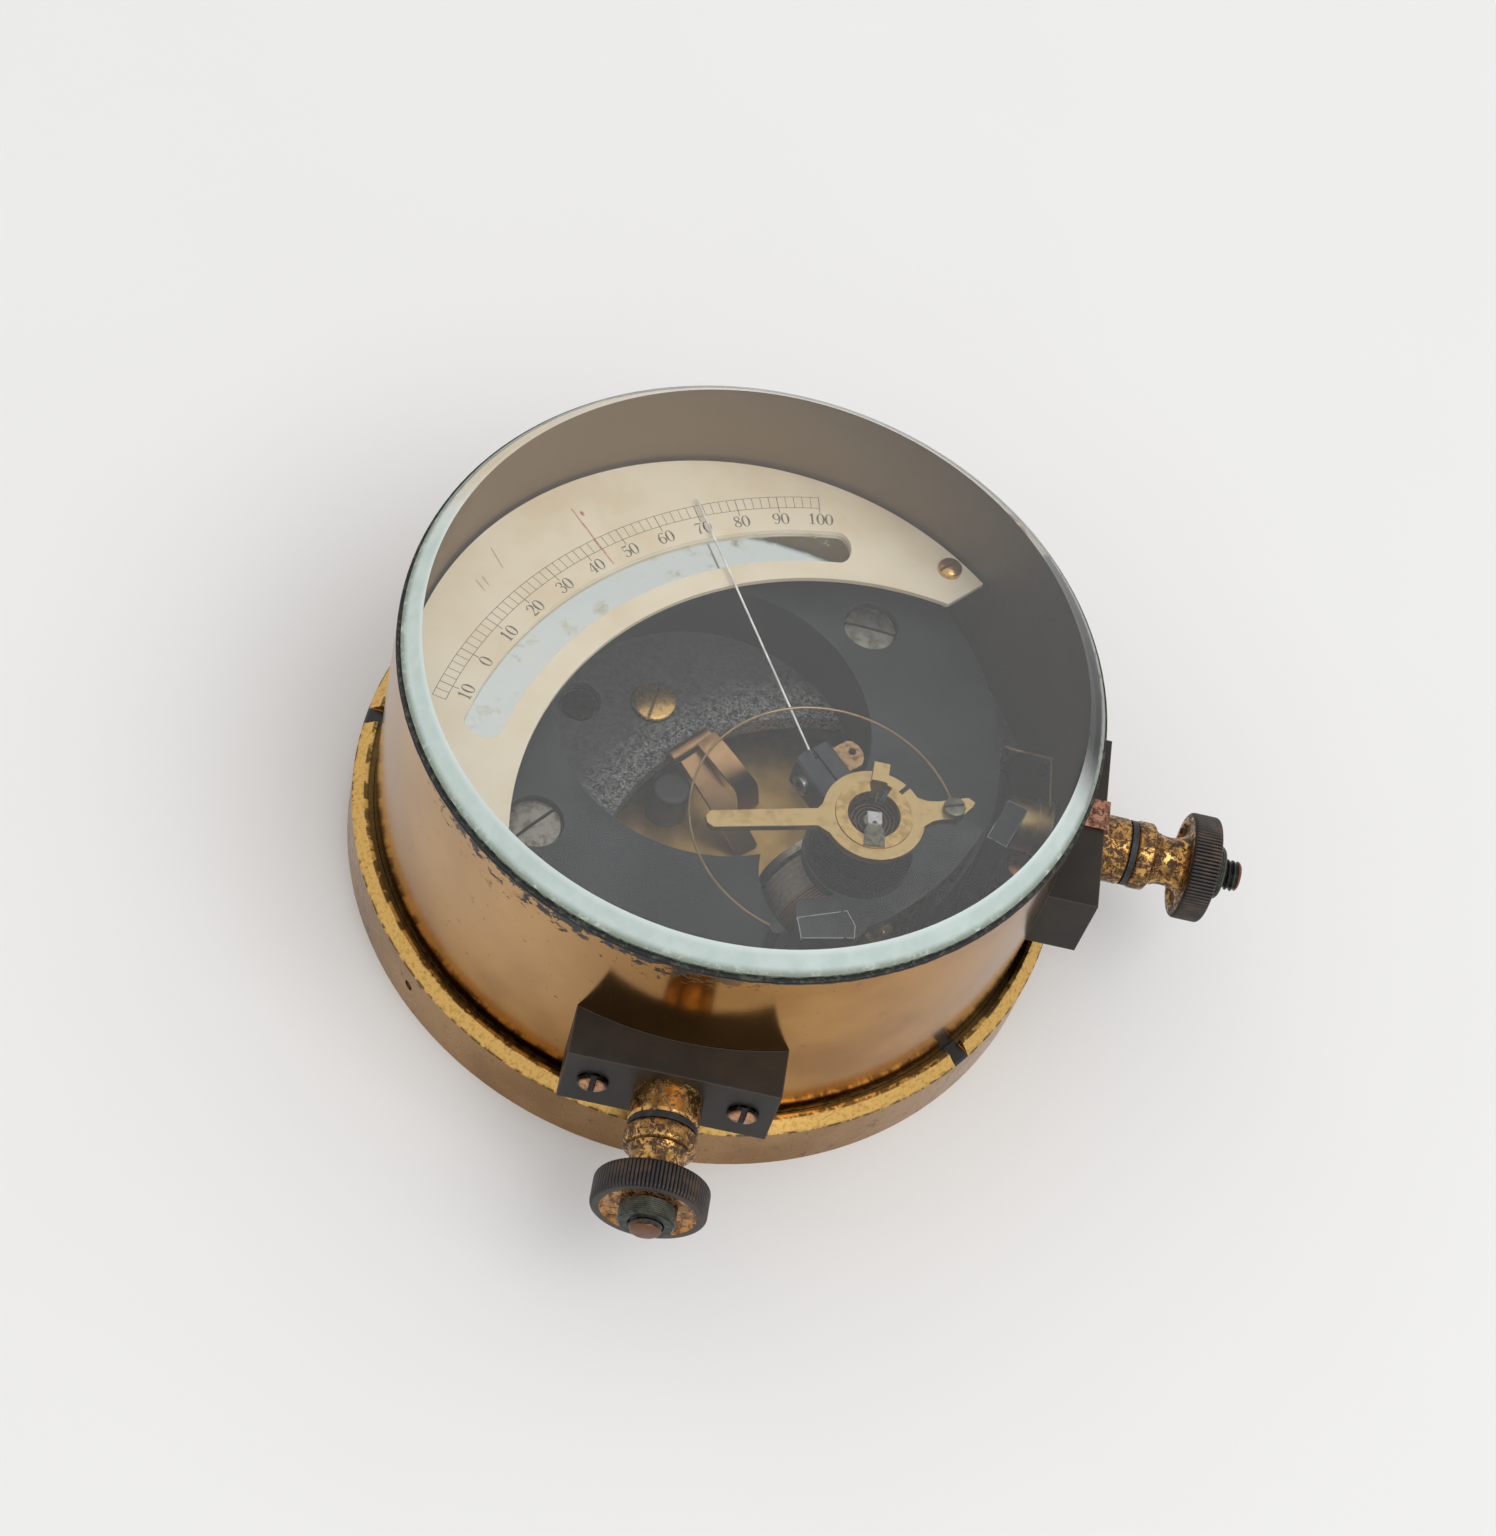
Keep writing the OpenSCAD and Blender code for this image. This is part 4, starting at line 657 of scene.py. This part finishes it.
    ink = looks["ink"] = Look("ink", 0.0, 0.7)
    fading = ink.step(ink.noise(1.8, 4.0, 0.7), 0.35, 0.75)
    ink.paint(fading, (0.105, 0.090, 0.075), (0.27, 0.23, 0.17))
    red = looks["red_ink"] = Look("red_ink", 0.0, 0.7)
    fading = red.step(red.noise(1.2, 4.0, 0.7), 0.4, 0.62)
    red.paint(fading, (0.52, 0.15, 0.09), (0.66, 0.38, 0.27))

    mirror = looks["mirror"] = Look("mirror", 1.0)
    blooms = mirror.step(mirror.noise(0.22, 5.0, 0.65), 0.52, 0.7)
    mirror.paint(blooms, (0.72, 0.75, 0.73), (0.60, 0.57, 0.42))
    mirror.roughen(blooms, 0.3, 0.05)

    rod = looks["rod"] = Look("pale_rod", 0.0, 0.25)
    greys = rod.step(rod.noise(0.4, 3.0), 0.4, 0.65)
    rod.paint(greys, (0.88, 0.88, 0.85), (0.62, 0.62, 0.60))
    ruby = looks["ruby"] = Look("ruby", 0.0, 0.1)
    ruby.paint(ruby.noise(1.0, 3.0), (0.25, 0.01, 0.02), (0.35, 0.04, 0.05))

    # Glass: clear with a few dust specks and transparent to shadow rays
    glass = looks["glass"] = Look("clear_glass", 0.0, 0.0)
    glass.set("Base Color", (0.975, 0.99, 0.985))
    glass.set("Transmission Weight", 1.0)
    glass.set("IOR", 1.5)
    dust = glass.step(glass.noise(0.12, 3.0), 0.45, 0.7)
    dust = glass.times(specks(glass, 1.9, 0.245, 0.02), dust)
    dirt = glass.node("ShaderNodeBsdfDiffuse")
    glass.feed(dirt.inputs["Color"], (0.75, 0.75, 0.72))
    clear = glass.node("ShaderNodeBsdfTransparent")
    is_shadow = glass.node("ShaderNodeLightPath").outputs["Is Shadow Ray"]
    surface = glass.shader
    for factor, other in ((glass.plus(glass.times(dust, 0.7), 0.012), dirt), (is_shadow, clear)):
        mixed = glass.node("ShaderNodeMixShader")
        for socket, item in zip(mixed.inputs, (factor, surface.outputs[0], other.outputs[0])):
            glass.feed(socket, item)
        surface = mixed
    glass.feed(glass.tree.nodes["Material Output"].inputs[0], surface.outputs[0])

    # Its ground bevel: on the near side a painted reflection of bright surroundings in pale green,
    # paler along its top, clear behind, with grime and a dark edge
    ground = looks["ground_glass"] = Look("ground_glass")
    z = ground.height()
    # Painted reflection: the near side of the bevel is made an opaque pale green, paler near its top
    near = ground.step(ground.along(*heading(LIT_BEVEL_AZ), 0), -14, 8)
    streaks = ground.noise(0.25, 4.0, 0.6)
    painted_mint = ground.tones(streaks, 0.35, 0.7, (0.50, 0.595, 0.565), (0.57, 0.66, 0.63))
    inner = ground.step(z, GLASS_Z + 2.35, GLASS_Z + 2.95)
    painted_mint = ground.mix(ground.times(inner, 0.7), painted_mint, (0.70, 0.78, 0.76))
    colour = ground.mix(near, (0.92, 0.96, 0.95), painted_mint)
    patchy = ground.noise(0.7, 5.0, 0.7)
    low = ground.step(z, GLASS_Z + 1.45, GLASS_Z + 0.65)
    grime = ground.times(low, ground.step(patchy, 0.26, 0.52))
    colour = ground.mix(ground.times(grime, 0.85), colour, (0.17, 0.20, 0.135))
    rim = ground.step(z, GLASS_Z + 0.62, GLASS_Z + 0.5)
    dark = ground.tones(patchy, 0.42, 0.6, (0.05, 0.06, 0.045), (0.22, 0.25, 0.20))
    ground.paint(rim, colour, dark)
    lit_side_and_grime = ground.most(near, ground.most(rim, ground.times(grime, 0.8)))
    ground.set("Transmission Weight", ground.step(lit_side_and_grime, 0.0, 1.0, 1.0, 0.12))
    ground.set("Roughness", ground.step(lit_side_and_grime, 0.0, 1.0, 0.02, 0.27))
    ground.set("IOR", 1.5)
    ground.grain(0.004, 2.5, 3.0)
    return looks


LOOKS = make_looks()


# The CAD nodes that get each look, in place of their plain material
DRESSED = {
    "drum": "drum_case",
    "ring": "base_ring",
    "floor_brass": "base_plate",
    "front_collar": "front_terminal_collar",
    "side_collar": "side_terminal_collar",
    "block_screw": "terminal_block_screws",
    "strip": "earthing_strip",
    "ebonite": "front_terminal_block side_terminal_block",
    "fibre": "front_terminal_washer side_terminal_washer inner_insulators lead_post lifter_knob",
    "cement": "glass_cement",
    "magnet": "magnet core_ball",
    "crinkle": "casting",
    "bridge": "pole_bridge",
    "alloy": "pointer_block pointer_bracket",
    "post": "front_inner_block side_inner_block",
    "fine_brass": "adjuster_ring adjuster_tab core_stem core_bracket scale_pillars tail_weights "
        "inner_stud_nuts",
    "bush": "bridge_bush",
    "screw_brass": "scale_screws",
    "sunk_screw": "casting_screws",
    "copper": "coil_former inner_block_screws",
    "lug": "block_lug",
    "spring": "hairspring",
    "slotted_steel": "magnet_screws",
    "steel": "pivot_staff",
    "dark_screw": "base_grub_screws",
    "lead_screw": "adjuster_stud",
    "silver": "balance_ring tail_rod",
    "coil_ring": "coil_front_ring",
    "dull_wire": "side_lead",
    "finger": "staff_guard",
    "winding": "coil_winding",
    "wrap": "coil_wrap",
    "cream": "scale_plate",
    "mirror": "scale_mirror",
    "rod": "pointer",
    "ruby": "jewel",
}
for look, names in DRESSED.items():
    for name in names.split():
        mesh = NODES[name].data
        mesh.materials.clear()
        mesh.materials.append(LOOKS[look].material)


# ---------------------------------------------------------------- meshes

def add_mesh(name, points, faces, looks, bands=None, smooth_to=35):
    """A mesh from points in mm. `bands` gives each face's place in `looks`."""
    mesh = bpy.data.meshes.new(name)
    mesh.from_pydata([tuple(v * MM for v in p) for p in points], [], faces)
    for look in looks:
        mesh.materials.append(LOOKS[look].material)
    if bands:
        for polygon, band in zip(mesh.polygons, bands):
            polygon.material_index = band
    mesh.shade_smooth()
    mesh.set_sharp_from_angle(angle=math.radians(smooth_to))
    mesh.update()
    piece = bpy.data.objects.new(name, mesh)
    put(piece)
    return piece


def arc(centre, r, start, end, steps):
    """Points on an arc between two azimuths in degrees."""
    ways = [heading(start + (end - start) * i / steps) for i in range(steps + 1)]
    return [(centre[0] + r * x, centre[1] + r * y) for x, y in ways]


def turned(profile, segments, shape=None):
    """Revolves (radius, height, look) about Z, with a radius of 0 at a closed end.

    `shape` may change a radius, from its index in the profile, itself, its height and its turn.
    """
    points, faces, bands, rows = [], [], [], []
    for index, (r, z, look) in enumerate(profile):
        if r == 0:
            rows.append([len(points)])
            points.append((0, 0, z))
            continue
        rows.append(list(range(len(points), len(points) + segments)))
        for k in range(segments):
            turn = 2 * math.pi * k / segments
            radius = shape(index, r, z, turn) if shape else r
            points.append((radius * math.cos(turn), radius * math.sin(turn), z))
    for i in range(len(rows) - 1):
        low, high = rows[i], rows[i + 1]
        for k in range(segments):
            n = (k + 1) % segments
            if len(low) == 1:
                faces.append((low[0], high[n], high[k]))
            elif len(high) == 1:
                faces.append((low[k], low[n], high[0]))
            else:
                faces.append((low[k], low[n], high[n], high[k]))
            bands.append(profile[i][2])
    return points, faces, bands


def terminal_frame(side, x):
    """Matrix in mm that stands a piece drawn along +Z out along a terminal's axis."""
    around = Matrix.Rotation(math.radians(TERMINAL_AZ[side]), 4, "Z")
    lie = Matrix.Rotation(math.radians(90), 4, "Y")
    return around @ Matrix.Translation((x, 0, TERMINAL_Z)) @ lie


def moved(points, matrix):
    return [tuple(matrix @ Vector(p)) for p in points]


def knurled_nut(side):
    """Waisted nut whose head has straight knurls round it, a dished face and a grooved boss."""
    head = FLANGE_L + WAIST_L
    end = head + HEAD_L
    tip, bore = end + BOSS_L, STUD_R + 0.05
    body, rim, front, boss = range(4)
    flange, edge = FLANGE_R - FLANGE_ROUND, HEAD_R - HEAD_ROUND
    line = [(bore, 0)]
    line += arc((flange, FLANGE_ROUND), FLANGE_ROUND, -90, 0, 8)
    line += arc((flange, FLANGE_L - FLANGE_ROUND), FLANGE_ROUND, 0, 90, 8)
    line += [(WAIST_R + 0.7 * (1 - i / 8) ** 2, FLANGE_L + WAIST_L * i / 16) for i in range(17)]
    line += [(WAIST_R + 1.4, head + DISH), (HEAD_R - 1.6, head + DISH), (HEAD_R - 1.2, head)]
    profile = [(r, z, body) for r, z in line]
    first = len(profile)
    line = arc((edge, head + HEAD_ROUND), HEAD_ROUND, -90, 0, 5)
    line += arc((edge, end - HEAD_ROUND), HEAD_ROUND, 0, 90, 5)
    profile += [(r, z, rim) for r, z in line]
    last = len(profile) - 1
    line = [(HEAD_R - 1.4, end), (HEAD_R - 1.9, end - DISH), (BOSS_R + 0.1, end - DISH)]
    profile += [(r, z, front) for r, z in line]
    line = [(BOSS_R - GROOVE_DEPTH * (i % 2), end - DISH + (BOSS_L + 0.2) * i / GROOVES)
            for i in range(GROOVES + 1)]
    line += [(BOSS_R - 0.3, tip), (STUD_R + 0.3, tip), (bore, tip - 0.25), (bore, 0)]
    profile += [(r, z, boss) for r, z in line]

    def shape(index, r, z, turn):
        if not first + 2 <= index <= last - 2:
            return r
        wave = abs(math.sin(KNURLS * turn / 2))
        return r - KNURL_DEPTH * (1 - min(1.0, 1.5 * wave))

    points, faces, bands = turned(profile, KNURLS * 6, shape)
    name = side + "_terminal_nut"
    piece = add_mesh(name + "_turned", moved(points, terminal_frame(side, NUT_START)), faces,
                     ("nut", "knurl", "nut_face", "boss"), bands, 40)
    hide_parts(name)
    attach(piece, side + "_nut")


def threaded_stud(side):
    """Stud with a real helical thread from end to end and a domed tip."""
    length = STUD_ENDS[side] - STUD_START
    around, per_turn = 40, 10
    rows = int(length / THREAD_PITCH * per_turn)
    points, faces = [(0, 0, 0)], []
    for i in range(rows + 1):
        z = length * i / rows
        past = max(0.0, z - length + STUD_ROUND)
        dome = STUD_R - STUD_ROUND + math.sqrt(max(0.0, STUD_ROUND ** 2 - past ** 2))
        for k in range(around):
            phase = (z / THREAD_PITCH - k / around) % 1
            groove = THREAD_DEPTH * (1 - min(1.0, 1.15 * abs(2 * phase - 1)))
            radius = min(STUD_R - groove, dome)
            turn = 2 * math.pi * k / around
            points.append((radius * math.cos(turn), radius * math.sin(turn), z))
    points.append((0, 0, length))
    for k in range(around):
        n = (k + 1) % around
        faces.append((0, 1 + n, 1 + k))
        for i in range(rows):
            low, high = 1 + i * around, 1 + (i + 1) * around
            faces.append((low + k, low + n, high + n, high + k))
        faces.append((1 + rows * around + k, 1 + rows * around + n, len(points) - 1))
    name = side + "_terminal_stud"
    piece = add_mesh(name + "_threaded", moved(points, terminal_frame(side, STUD_START)), faces,
                     ("thread",), None, 50)
    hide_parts(name)
    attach(piece, "case")


for terminal in TERMINAL_AZ:
    knurled_nut(terminal)
    threaded_stud(terminal)


def glass_disc():
    """The cover glass, finely turned, with its ground bevel and edge as a second material."""
    clear, ground = 0, 1
    top = GLASS_Z + GLASS_T
    profile = [(0, GLASS_Z, clear), (GLASS_R - 0.15, GLASS_Z, ground),
               (GLASS_R, GLASS_Z + 0.15, ground), (GLASS_R, GLASS_Z + GLASS_EDGE_H, ground),
               (GLASS_R - GLASS_BEVEL_W, top, clear), (0, top, clear)]
    points, faces, bands = turned(profile, 360)
    piece = add_mesh("cover_glass_ground", points, faces, ("glass", "ground_glass"), bands, 12)
    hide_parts("cover_glass")
    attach(piece, "case")


glass_disc()


def way_at(path, i):
    """The direction of a path of points at one of them, from its neighbours."""
    return (Vector(path[min(len(path) - 1, i + 1)]) - Vector(path[max(0, i - 1)])).normalized()


def tube(name, path, radius, look):
    """A round wire along a path of points in mm, closed at both ends."""
    sides = 12
    points, faces = [], []
    for i, place in enumerate(path):
        along = way_at(path, i)
        across = along.cross(Vector((0, 0, 1))).normalized()
        over = across.cross(along)
        for k in range(sides):
            turn = 2 * math.pi * k / sides
            spoke = across * math.cos(turn) + over * math.sin(turn)
            points.append(tuple(Vector(place) + spoke * radius))
    for i in range(len(path) - 1):
        for k in range(sides):
            n = (k + 1) % sides
            faces.append((i * sides + k, (i + 1) * sides + k, (i + 1) * sides + n, i * sides + n))
    faces += [tuple(range(sides)), tuple(reversed(range(len(points) - sides, len(points))))]
    return add_mesh(name, points, faces, (look,))


def loop_of_lead():
    """The thin wire from its post to the adjuster's stud."""
    path = [(x, y, LOOP_Z) for x, y in arc(LOOP_C, LOOP_R, *LOOP_AZ, 120)]
    wire = tube("loop_lead_wire", path, LOOP_WIRE_R, "gold_wire")
    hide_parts("loop_lead")
    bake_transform(wire)


loop_of_lead()


# ---------------------------------------------------------------- printed scale

def value_az(value):
    return SCALE_ZERO_AZ - SCALE_STEP_AZ * value


def on_scale(r, value):
    """The XY point of the scale at a radius from the pivot and a value."""
    x, y = heading(value_az(value))
    return PIVOT[0] + r * x, PIVOT[1] + r * y


def ribbon(points, faces, path, widths):
    """Adds a flat strip along a path of XY points with a width at each."""
    start, z = len(points), SCALE_Z + PRINT_LIFT
    for i, (x, y) in enumerate(path):
        dx, dy = way_at(path, i)
        nx, ny = -dy * widths[i] / 2, dx * widths[i] / 2
        points += [(x - nx, y - ny, z), (x + nx, y + ny, z)]
    for i in range(len(path) - 1):
        a = start + 2 * i
        faces.append((a, a + 2, a + 3, a + 1))


def printed_lines():
    """The ladder of the scale: two arcs, a tick every two divisions and a longer one every ten."""
    points, faces = [], []
    low, high = SCALE_VALUES
    for r in (SCALE_IN_R, SCALE_OUT_R):
        path = [on_scale(r, low + (high - low) * i / ARC_STEPS) for i in range(ARC_STEPS + 1)]
        ribbon(points, faces, path, [LINE_W] * len(path))
    for value in range(low, high + 1, 2):
        long = value % 10 == 0
        inner = SCALE_OUT_R - SCALE_LONG if long else SCALE_IN_R
        path = [on_scale(inner, value), on_scale(SCALE_OUT_R, value)]
        ribbon(points, faces, path, [LONG_LINE_W if long else LINE_W] * 2)
    return points, faces


# Strokes of old-style figures in a box 1 high: each is (x, y, width) with thick and thin parts
FIGURES = {
    "0": [[(0.3, 1, 0.04), (0.13, 0.88, 0.1), (0.05, 0.5, 0.17), (0.13, 0.12, 0.1), (0.3, 0, 0.04),
          (0.47, 0.12, 0.1), (0.55, 0.5, 0.17), (0.47, 0.88, 0.1), (0.3, 1, 0.04)]],
    "1": [[(0.3, 1, 0.15), (0.3, 0.5, 0.15), (0.3, 0, 0.15)], [(0.12, 0.8, 0.04),
          (0.26, 0.93, 0.09)], [(0.12, 0.02, 0.05), (0.48, 0.02, 0.05)]],
    "2": [[(0.08, 0.74, 0.15), (0.14, 0.92, 0.08), (0.32, 1, 0.06), (0.5, 0.85, 0.14),
          (0.48, 0.62, 0.13), (0.28, 0.32, 0.06), (0.07, 0.06, 0.05)], [(0.07, 0.06, 0.1),
          (0.3, 0.05, 0.13), (0.54, 0.06, 0.06), (0.56, 0.24, 0.04)]],
    "3": [[(0.08, 0.8, 0.14), (0.18, 0.95, 0.07), (0.36, 0.98, 0.06), (0.49, 0.8, 0.14),
          (0.4, 0.58, 0.07), (0.24, 0.54, 0.04)], [(0.24, 0.54, 0.04), (0.46, 0.46, 0.08),
          (0.55, 0.26, 0.15), (0.42, 0.04, 0.07), (0.18, 0.02, 0.07), (0.07, 0.18, 0.14)]],
    "4": [[(0.4, 1, 0.06), (0.4, 0.5, 0.15), (0.4, 0, 0.15)], [(0.4, 0.98, 0.05),
          (0.2, 0.62, 0.05), (0.02, 0.3, 0.05)], [(0.02, 0.28, 0.05), (0.58, 0.28, 0.05)],
          [(0.24, 0.02, 0.05), (0.56, 0.02, 0.05)]],
    "5": [[(0.52, 0.96, 0.1), (0.3, 0.93, 0.12), (0.14, 0.97, 0.05)], [(0.14, 0.97, 0.04),
          (0.12, 0.52, 0.04)], [(0.12, 0.52, 0.04), (0.32, 0.6, 0.08), (0.52, 0.45, 0.14),
          (0.53, 0.2, 0.15), (0.36, 0.02, 0.06), (0.16, 0.03, 0.07), (0.07, 0.18, 0.13)]],
    "6": [[(0.5, 0.84, 0.12), (0.38, 0.98, 0.05), (0.18, 0.84, 0.09), (0.07, 0.45, 0.16),
          (0.14, 0.1, 0.11), (0.32, 0, 0.05), (0.5, 0.14, 0.12), (0.54, 0.34, 0.14),
          (0.42, 0.56, 0.07), (0.26, 0.58, 0.05), (0.12, 0.42, 0.05)]],
    "7": [[(0.07, 0.78, 0.04), (0.1, 0.95, 0.08), (0.3, 0.93, 0.12), (0.56, 0.96, 0.06)],
          [(0.55, 0.96, 0.04), (0.38, 0.6, 0.07), (0.28, 0.3, 0.13), (0.27, 0, 0.16)]],
    "8": [[(0.3, 1, 0.05), (0.12, 0.88, 0.1), (0.14, 0.68, 0.12), (0.32, 0.52, 0.14),
          (0.5, 0.34, 0.13), (0.5, 0.12, 0.1), (0.3, 0, 0.05), (0.1, 0.12, 0.09),
          (0.09, 0.3, 0.08), (0.28, 0.5, 0.05), (0.47, 0.7, 0.07), (0.47, 0.88, 0.08),
          (0.3, 1, 0.05)]],
    "9": [[(0.1, 0.16, 0.12), (0.22, 0.02, 0.05), (0.42, 0.16, 0.09), (0.53, 0.55, 0.16),
          (0.46, 0.9, 0.11), (0.28, 1, 0.05), (0.1, 0.86, 0.12), (0.06, 0.66, 0.14),
          (0.18, 0.44, 0.07), (0.34, 0.42, 0.05), (0.48, 0.58, 0.05)]],
}
FIGURE_STEP = 0.66


def smoothed(stroke, parts=5):
    """A Catmull-Rom line through a stroke's points, widths as well."""
    if len(stroke) < 3:
        return stroke
    ends = [stroke[0]] + list(stroke) + [stroke[-1]]
    out = []
    for a, b, c, d in zip(ends, ends[1:], ends[2:], ends[3:]):
        for i in range(parts):
            t = i / parts
            out.append(tuple(
                0.5 * (2 * q + (r - p) * t + (2 * p - 5 * q + 4 * r - s) * t * t
                       + (3 * q - p - 3 * r + s) * t ** 3)
                for p, q, r, s in zip(a, b, c, d)))
    return out + [stroke[-1]]


def printed_numbers():
    points, faces = [], []
    for value in range(-10, 101, 10):
        text = str(abs(value))
        out_x, out_y = heading(value_az(value))
        for place, figure in enumerate(text):
            shift = (place - len(text) / 2) * FIGURE_STEP + 0.03
            for stroke in FIGURES[figure]:
                line = smoothed(stroke)
                path = []
                for x, y, _ in line:
                    right, out = (x + shift) * NUMBER_H, (y - 0.5) * NUMBER_H + NUMBER_R
                    path.append((PIVOT[0] + out_x * out + out_y * right,
                                 PIVOT[1] + out_y * out - out_x * right))
                ribbon(points, faces, path, [max(0.03, w) * NUMBER_H for _, _, w in line])
    return points, faces


def add_print(name, points, faces, look):
    piece = add_mesh(name, points, faces, (look,))
    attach(piece, "case")


add_print("scale_lines", *printed_lines(), "ink")
add_print("scale_numbers", *printed_numbers(), "ink")


def hand_lines():
    """A red line drawn across the scale, with a dab at its outer end, and a few pencil strokes."""
    points, faces = [], []
    (x0, y0), (x1, y1) = RED_LINE
    steps, waver, width, uneven = 12, 0.05, 0.22, 0.06
    path = [(x0 + (x1 - x0) * i / steps, y0 + (y1 - y0) * i / steps + waver * math.sin(i * 1.7))
            for i in range(steps + 1)]
    ribbon(points, faces, path, [width + uneven * math.sin(i * 2.3) for i in range(steps + 1)])
    dab = [(x0 + 1.5, y0 - 0.1), (x0 + 1.8, y0 - 0.45), (x0 + 2.15, y0 - 0.85)]
    ribbon(points, faces, dab, [0.25, 0.6, 0.25])
    add_print("red_line", points, faces, "red_ink")
    points, faces = [], []
    for start, end in PENCIL_LINES:
        ribbon(points, faces, [start, end], [0.12, 0.08])
    add_print("pencil_lines", points, faces, "ink")


hand_lines()


def contact_leaf():
    """The bronze leaf: two strips, each in one smooth bend, and a rolled eye."""
    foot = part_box("contact_leaf")[0][2] / MM + LEAF_T / 2
    across = Vector((*heading(LEAF_AZ), 0))
    points, faces = [], []
    for way, width in ((LEAF_FLAT, LEAF_FLAT_W), (LEAF_ARCHED, LEAF_ARCHED_W)):
        way = [(x, y, foot if z is None else z) for x, y, z in way]
        path = [Vector(p) for p in smoothed(way, 8)]
        start = len(points)
        for i, place in enumerate(path):
            along = way_at(path, i)
            over = across.cross(along).normalized() * (LEAF_T / 2)
            side = across * (width / 2)
            corners = (side + over, over - side, -side - over, side - over)
            points += [tuple(place + corner) for corner in corners]
        for i in range(len(path) - 1):
            low = start + 4 * i
            for k in range(4):
                n = (k + 1) % 4
                faces.append((low + k, low + n, low + 4 + n, low + 4 + k))
        end = len(points)
        faces += [(start + 3, start + 2, start + 1, start), tuple(range(end - 4, end))]
    hole = EYE_R - LEAF_T
    half = EYE_L / 2
    eye = [(hole, -half, 0), (EYE_R, -half, 0), (EYE_R, half, 0), (hole, half, 0), (hole, -half, 0)]
    rolled, rolled_faces, _ = turned(eye, 48)
    stand = (Matrix.Translation(EYE_AT) @ Matrix.Rotation(math.radians(LEAF_AZ + 4), 4, "Z")
             @ Matrix.Rotation(math.radians(90), 4, "Y"))
    faces += [tuple(len(points) + k for k in face) for face in rolled_faces]
    points += moved(rolled, stand)
    leaf = add_mesh("contact_leaf_bent", points, faces, ("leaf",))
    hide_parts("contact_leaf")
    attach(leaf, "case")


contact_leaf()


# ---------------------------------------------------------------- stage

def lamp(name, place, size, power, aim=(0, 0, 0.02)):
    """A rectangular lamp that points at the model. Places and sizes are in metres."""
    data = bpy.data.lights.new(name, "AREA")
    data.shape = "RECTANGLE"
    data.size, data.size_y = size
    data.energy = power
    light = bpy.data.objects.new(name, data)
    light.location = place
    light.rotation_euler = (Vector(aim) - Vector(place)).to_track_quat("-Z", "Y").to_euler()
    put(light)


def add_stage():
    """Pale paper under the model, an even white world and one soft lamp."""
    half = 3.0
    corners = [(-half, -half, 0), (half, -half, 0), (half, half, 0), (-half, half, 0)]
    mesh = bpy.data.meshes.new("floor")
    mesh.from_pydata(corners, [], [(0, 1, 2, 3)])
    floor = bpy.data.objects.new("floor", mesh)
    put(floor)
    paper = Look("paper", 0.0, 0.9)
    tone = paper.noise(0.02, 3.0)
    paper.paint(tone, (0.787, 0.785, 0.780), (0.805, 0.804, 0.800))
    mesh.materials.append(paper.material)
    world = bpy.data.worlds.new("studio")
    world.use_nodes = True
    background = world.node_tree.nodes["Background"]
    background.inputs["Color"].default_value = (1.0, 1.0, 1.0, 1.0)
    background.inputs["Strength"].default_value = 0.84
    bpy.context.scene.world = world
    lamp("soft_key", (0.7, -0.5, 1.5), (1.2, 1.2), 9.8)


add_stage()
bpy.context.scene.view_settings.view_transform = "Standard"
